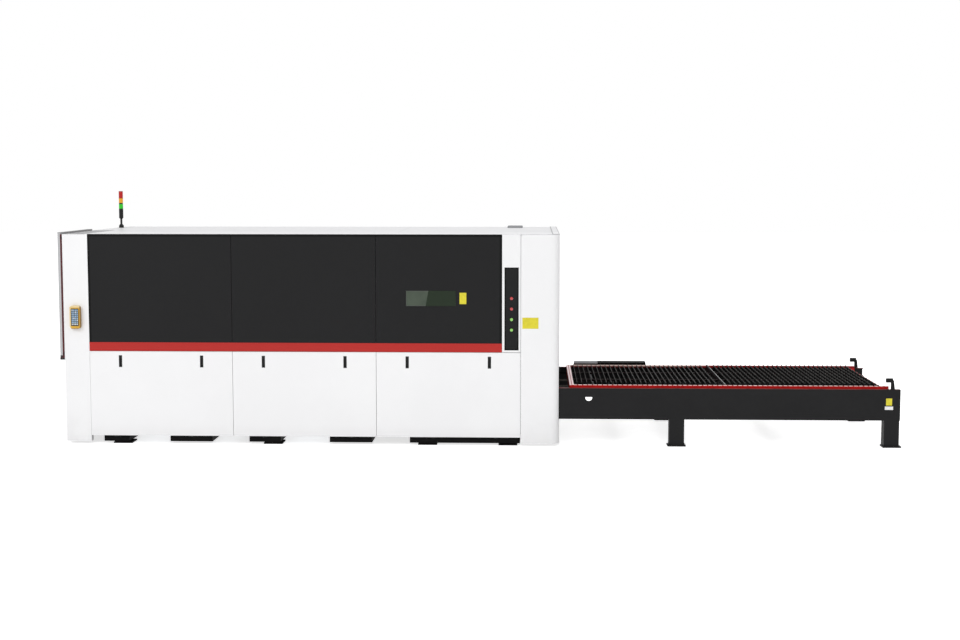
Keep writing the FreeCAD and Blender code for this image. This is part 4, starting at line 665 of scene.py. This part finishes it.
# ---------------------------------------------------------------- small pieces
class Piece:
    """One mesh gathered from bevelled blocks and turned forms, in machine millimetres."""

    def __init__(self):
        self.bm = bmesh.new()

    def block(self, low, high, chamfer, lean=(0, 0, 0)):
        """A bevelled block between two corners; its upper face may lean by an offset."""
        first, last = place(*low), place(*high)
        made = bmesh.ops.create_cube(self.bm, size=1.0)["verts"]
        for v in made:
            share = v.co + Vector((0.5, 0.5, 0.5))
            v.co = Vector([first[i] + share[i] * (last[i] - first[i]) for i in range(3)])
            v.co += Vector(lean) / MM_PER_M * share.z
        edges = list({edge for v in made for edge in v.link_edges})
        bmesh.ops.bevel(self.bm, geom=edges, offset=chamfer / MM_PER_M, segments=2,
                        profile=0.5, affect="EDGES", clamp_overlap=True)

    def surround(self, low, high, width, front, back, chamfer):
        """Four strips of one width, just inside the rectangle between two (x, z) corners."""
        (left, bottom), (right, top) = low, high
        for x1, z1, x2, z2 in (
            (left, bottom, right, bottom + width),
            (left, top - width, right, top),
            (left, bottom + width, left + width, top - width),
            (right - width, bottom + width, right, top - width),
        ):
            self.block((x1, front, z1), (x2, back, z2), chamfer)

    def lathe(self, centre, axis, profile, sides):
        """A turned form from (radius, distance) pairs along an axis through a centre."""
        start = place(*centre)
        along = Vector(axis).normalized()
        across = along.orthogonal().normalized()
        third = along.cross(across)
        rings = []
        for radius, distance in profile:
            ring = []
            for n in range(sides):
                angle = 2 * math.pi * n / sides
                spoke = across * math.cos(angle) + third * math.sin(angle)
                offset = (along * distance + spoke * radius) / MM_PER_M
                ring.append(self.bm.verts.new(start + offset))
            rings.append(ring)
        for low, high in zip(rings, rings[1:]):
            for n in range(sides):
                m = (n + 1) % sides
                self.bm.faces.new((low[n], low[m], high[m], high[n]))
        self.bm.faces.new(rings[0][::-1])
        self.bm.faces.new(rings[-1])

    def bolt(self, centre, radius):
        """A standing hexagon head on a washer of this radius."""
        x, y, z = centre
        washer, corner, head = 0.14 * radius, 0.8 * radius, 0.62 * radius
        self.lathe(centre, UP, [(radius, 0), (radius, washer)], sides=18)
        self.lathe((x, y, z + washer), UP,
                   [(corner, 0), (corner, 0.82 * head), (0.88 * corner, head)], sides=6)

    def done(self, name, material, body="machine", smooth=False):
        """Makes the mesh a piece of its own that goes with a body."""
        bmesh.ops.recalc_face_normals(self.bm, faces=self.bm.faces)
        mesh = bpy.data.meshes.new(name)
        self.bm.to_mesh(mesh)
        self.bm.free()
        for face in mesh.polygons:
            face.use_smooth = smooth
        mesh.materials.append(MATS[material])
        made = bpy.data.objects.new(name, mesh)
        scene.collection.objects.link(made)
        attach(made, body)
        return made


def bare_plates():
    """Plain coloured plates; those on the casing are held by four small rivets each."""
    rivet, inset = [(3.2, 0), (2.6, 0.8), (1.2, 1.2)], 9
    for name, finish_name, low, high, riveted in (
        ("portal_plate", "sign_yellow", (4356, -17.2, 1184), (4516, -16, 1295), True),
        ("window_plate", "sign_yellow", (3730, -1.2, 1427), (3798, 0, 1540), True),
        ("table_plate_upper", "sign_yellow", (7972, 43.8, 424), (8032, 45, 494), False),
        ("table_plate_lower", "sign_white", (7961, 43.8, 380), (8043, 45, 414), False),
    ):
        plate = Piece()
        plate.block(low, high, chamfer=0.5)
        if riveted:
            for x in (low[0] + inset, high[0] - inset):
                for z in (low[2] + inset, high[2] - inset):
                    plate.lathe((x, low[1], z), FRONT, rivet, sides=12)
        plate.done(name, finish_name)


def pendant_face():
    """The pendant's membrane: a bezel, a small screen and rows of domed keys."""
    low, high = machine_corners(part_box("pendant_keypad"))
    front, back, rim = low.y, high.y, 3
    # the keys and the screen reach a little way into the membrane
    membrane = front + 1.1
    root = membrane + 0.1
    base = Piece()
    base.block((low.x, membrane, low.z), (high.x, back, high.z), chamfer=0.4)
    base.surround((low.x, low.z), (high.x, high.z), rim, front + 0.2, back, chamfer=0.3)
    face = base.done("pendant_bezel", "black_plastic")
    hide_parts("pendant_keypad")
    columns, rows, gap, grey_every = 4, 8, 2.4, 7
    left, right = low.x + rim + 2, high.x - rim - 2
    bottom, top = low.z + rim + 4, high.z - rim - 3
    step_x, step_z = (right - left) / columns, (top - bottom) / rows
    blue, grey, screen = Piece(), Piece(), Piece()
    for i in range(columns):
        for j in range(rows):
            x, z = left + i * step_x, bottom + j * step_z
            target = grey if (j == 0 or (i + 2 * j) % grey_every == 0) else blue
            target.block((x + gap, front + 0.05, z + gap),
                         (x + step_x - gap, root, z + step_z - gap), chamfer=0.5)
    blue.done("pendant_keys_blue", "key")
    grey.done("pendant_keys_grey", "key_grey")
    screen.block((left + 6, front + 0.4, top + 0.2), (right - 6, root, top + 2.6),
                 chamfer=0.2)
    screen.done("pendant_screen", "screen")


def window_seal():
    """Rubber section round the viewing window."""
    low, high = machine_corners(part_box("viewing_window"))
    width, front, back = 4, -1.0, 0.5
    seal = Piece()
    seal.surround((low.x - width, low.z - width), (high.x + width, high.z + width), width,
                  front, back, chamfer=0.8)
    seal.done("window_seal", "rubber")


def portal_seam():
    """Pale sealing strip set back in the joint between the portal and the indicator column."""
    left, right, front, back, bottom, top = 4340.3, 4343.7, 1.5, 9.0, 120, 2100
    seal = Piece()
    seal.block((left, front, bottom), (right, back, top), chamfer=0.4)
    seal.done("portal_seam_seal", "white")


def chain_rollers():
    """Rollers between the link plates on the straight runs, clear of the turning sprockets."""
    left, right, height, middles = 860.0, 5300.0, 475.0, (632.0, 1232.0)
    pitch, teeth, roller, width = 15.875, 12, 4.8, 7.4
    radius = pitch / (2 * math.sin(math.pi / teeth))
    clear = 3 * pitch
    count = int((right - left - 2 * clear) // pitch)
    rollers = Piece()
    for middle in middles:
        for z in (height - radius, height + radius):
            for n in range(count + 1):
                x = left + clear + n * pitch
                rollers.lathe((x, middle - width / 2, z), BACK,
                              [(roller, 0), (roller, width)], sides=6)
    rollers.done("chain_rollers", "steel")


def table_bolts():
    """Anchor bolts in the legs' foot plates, and screws in the drive cover's back."""
    foot_plates, foot_rows = ((5811, 5993), (7948, 8130)), (105, 1759)
    plate_top, inset, washer_radius = 14, 9, 6.5
    legs = Piece()
    for left, right in foot_plates:
        for x in (left + inset, right - inset):
            for y in foot_rows:
                legs.bolt((x, y, plate_top), washer_radius)
    legs.done("leg_anchor_bolts", "zinc_bolt")
    columns, rows, cover_and_shade_back = (4960, 5319, 5677), (450, 585), 2009
    pan_head = [(8, 0), (7.2, 3), (4, 4.6)]
    cover = Piece()
    for x in columns:
        for z in rows:
            cover.lathe((x, cover_and_shade_back, z), BACK, pan_head, sides=16)
    cover.done("drive_cover_screws", "zinc_bolt")


def rail_bolts():
    """Cap screws that hold the gantry rails down, almost flush with the rails' tops."""
    left, right, pitch, rails, rail_top = 200, 4560, 120, (80, 1784), 888
    cap_head = [(6.5, -1.0), (6.5, 0.1), (5.8, 0.25)]
    screws = Piece()
    for y in rails:
        for x in range(left, right, pitch):
            screws.lathe((x, y, rail_top), UP, cap_head, sides=12)
    screws.done("rail_screws", "black_plastic")


def head_details():
    """Fibre connector and lens drawer on the cutting head."""
    low, high = machine_corners(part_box("cutting_head"))
    x, y, sunk = (low.x + high.x) / 2, (low.y + high.y) / 2, 0.5
    collar_and_boot = [(24, 0), (24, 12), (17, 16), (17, 60), (12, 66), (9, 92), (6, 96)]
    connector = Piece()
    connector.lathe((x, y, high.z - sunk), UP, collar_and_boot, sides=28)
    connector.done("fibre_connector", "black_plastic", "head", smooth=True)
    half_width, proud, bottom, top = 24, 9, high.z - 150, high.z - 118
    knob = [(8, 0), (8, 7), (6, 9)]
    drawer = Piece()
    drawer.block((high.x - sunk, y - half_width, bottom),
                 (high.x + proud, y + half_width, top), chamfer=2.0)
    drawer.lathe((high.x + proud, y, (bottom + top) / 2), RIGHT, knob, sides=20)
    drawer.done("lens_drawer", "anodised", "head")


def rear_details():
    """Quarter-turn locks and low louvres on the back panels."""
    low, high = machine_corners(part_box("rear_panels"))
    left, panels = low.x, 3
    width = (high.x - left) / panels
    lock = [(17, 0), (17, 2), (14, 3.4), (5, 3.4), (5, 2.2)]
    lock_back, lock_inset, lock_rows = 2450, 45, (330, 1100, 1870)
    locks = Piece()
    for n in range(panels):
        for x in (left + n * width + lock_inset, left + (n + 1) * width - lock_inset):
            for z in lock_rows:
                locks.lathe((x, lock_back, z), BACK, lock, sides=24)
    locks.done("rear_panel_locks", "black_plastic")
    # each louvre leans back to the sheet at its top, over a dark slot that stands for the shade
    # in its opening
    sheet, lowest, pitch, rows = 2449, 300, 34, 9
    length, half_gap, lean = 320, 10, (0, -7, 0)
    louvres, slot_shades = Piece(), Piece()
    for n in (1, 2):
        centre = left + (n + 0.5) * width
        for z in range(lowest, lowest + rows * pitch, pitch):
            for x in (centre - half_gap - length, centre + half_gap):
                louvres.block((x, sheet, z), (x + length, sheet + 9, z + 20), 2.0, lean)
                slot_shades.block((x + 4, sheet, z - 6), (x + length - 4, sheet + 1.6, z - 1),
                            chamfer=0.4)
    louvres.done("rear_louvres", "white")
    slot_shades.done("rear_louvre_slot_shades", "rubber")


bare_plates()
pendant_face()
window_seal()
portal_seam()
chain_rollers()
table_bolts()
rail_bolts()
head_details()
rear_details()


# ---------------------------------------------------------------- studio
PURE_WHITE = (1, 1, 1, 1)
WORLD_LEVEL = 0.6
# name, place, aim, width, height, power
LAMPS = (
    ("key", (-7.0, -13.0, 8.0), (0, 0, 1.0), 9.0, 6.0, 620),
    ("fill", (9.0, -12.0, 5.0), (1.0, 0, 1.0), 8.0, 6.0, 230),
    ("top", (0.0, 1.0, 10.0), (0, 0, 0), 12.0, 6.0, 330),
)


def pale_floor():
    """A matt floor that shows nearly white, seen straight or in a mirror, and takes shadows."""
    reach, drop, paint, lift = 60.0, 0.0005, (0.93, 0.93, 0.93, 1), 0.7
    mesh = bpy.data.meshes.new("floor")
    mesh.from_pydata([(-reach, -reach, 0), (reach, -reach, 0), (reach, reach, 0),
                      (-reach, reach, 0)], [], [(0, 1, 2, 3)])
    floor = bpy.data.objects.new("floor", mesh)
    floor.location.z = -drop
    scene.collection.objects.link(floor)
    s = Shader("floor_paint", paint, 0.9)
    ray = s.node("ShaderNodeLightPath").outputs
    seen = s.either(ray["Is Camera Ray"], ray["Is Glossy Ray"])
    s.bsdf.inputs["Emission Color"].default_value = PURE_WHITE
    s.link(s.math("MULTIPLY", seen, lift), s.bsdf.inputs["Emission Strength"])
    mesh.materials.append(s.mat)


def white_world():
    """White where it is seen, also through glass or in a mirror, and dimmer as a light."""
    world = bpy.data.worlds.new("studio")
    world.use_nodes = True
    tree = world.node_tree
    ray = tree.nodes.new("ShaderNodeLightPath").outputs
    seen = ray["Is Camera Ray"]
    for other in ("Is Transmission Ray", "Is Glossy Ray"):
        most = tree.nodes.new("ShaderNodeMath")
        most.operation = "MAXIMUM"
        tree.links.new(seen, most.inputs[0])
        tree.links.new(ray[other], most.inputs[1])
        seen = most.outputs[0]
    level = tree.nodes.new("ShaderNodeMapRange")
    level.inputs["To Min"].default_value = WORLD_LEVEL
    level.inputs["To Max"].default_value = 1.0
    tree.links.new(seen, level.inputs["Value"])
    background = tree.nodes["Background"]
    background.inputs["Color"].default_value = PURE_WHITE
    tree.links.new(level.outputs["Result"], background.inputs["Strength"])
    scene.world = world


def soft_lamps():
    """Large lamps, each turned towards what it is aimed at."""
    for name, position, aim, width, height, power in LAMPS:
        data = bpy.data.lights.new(name, "AREA")
        data.shape = "RECTANGLE"
        data.size = width
        data.size_y = height
        data.energy = power
        lamp = bpy.data.objects.new(name, data)
        lamp.location = position
        beam = Vector(aim) - Vector(position)
        lamp.rotation_euler = beam.to_track_quat("-Z", "Y").to_euler()
        scene.collection.objects.link(lamp)


def fitted_camera():
    """The camera that was solved from the photograph's vertical and depth lines."""
    tilt_down, turn_left = 5.266, 2.044
    data = bpy.data.cameras.new("camera")
    data.lens = 56.835
    data.sensor_width = 36.0
    data.sensor_fit = "HORIZONTAL"
    data.clip_end = 200.0
    camera = bpy.data.objects.new("camera", data)
    camera.location = (0.555, -16.259, 2.654)
    camera.rotation_euler = (math.radians(90 - tilt_down), 0.0, math.radians(turn_left))
    scene.collection.objects.link(camera)
    scene.camera = camera


pale_floor()
white_world()
soft_lamps()
fitted_camera()

bpy.context.view_layer.update()
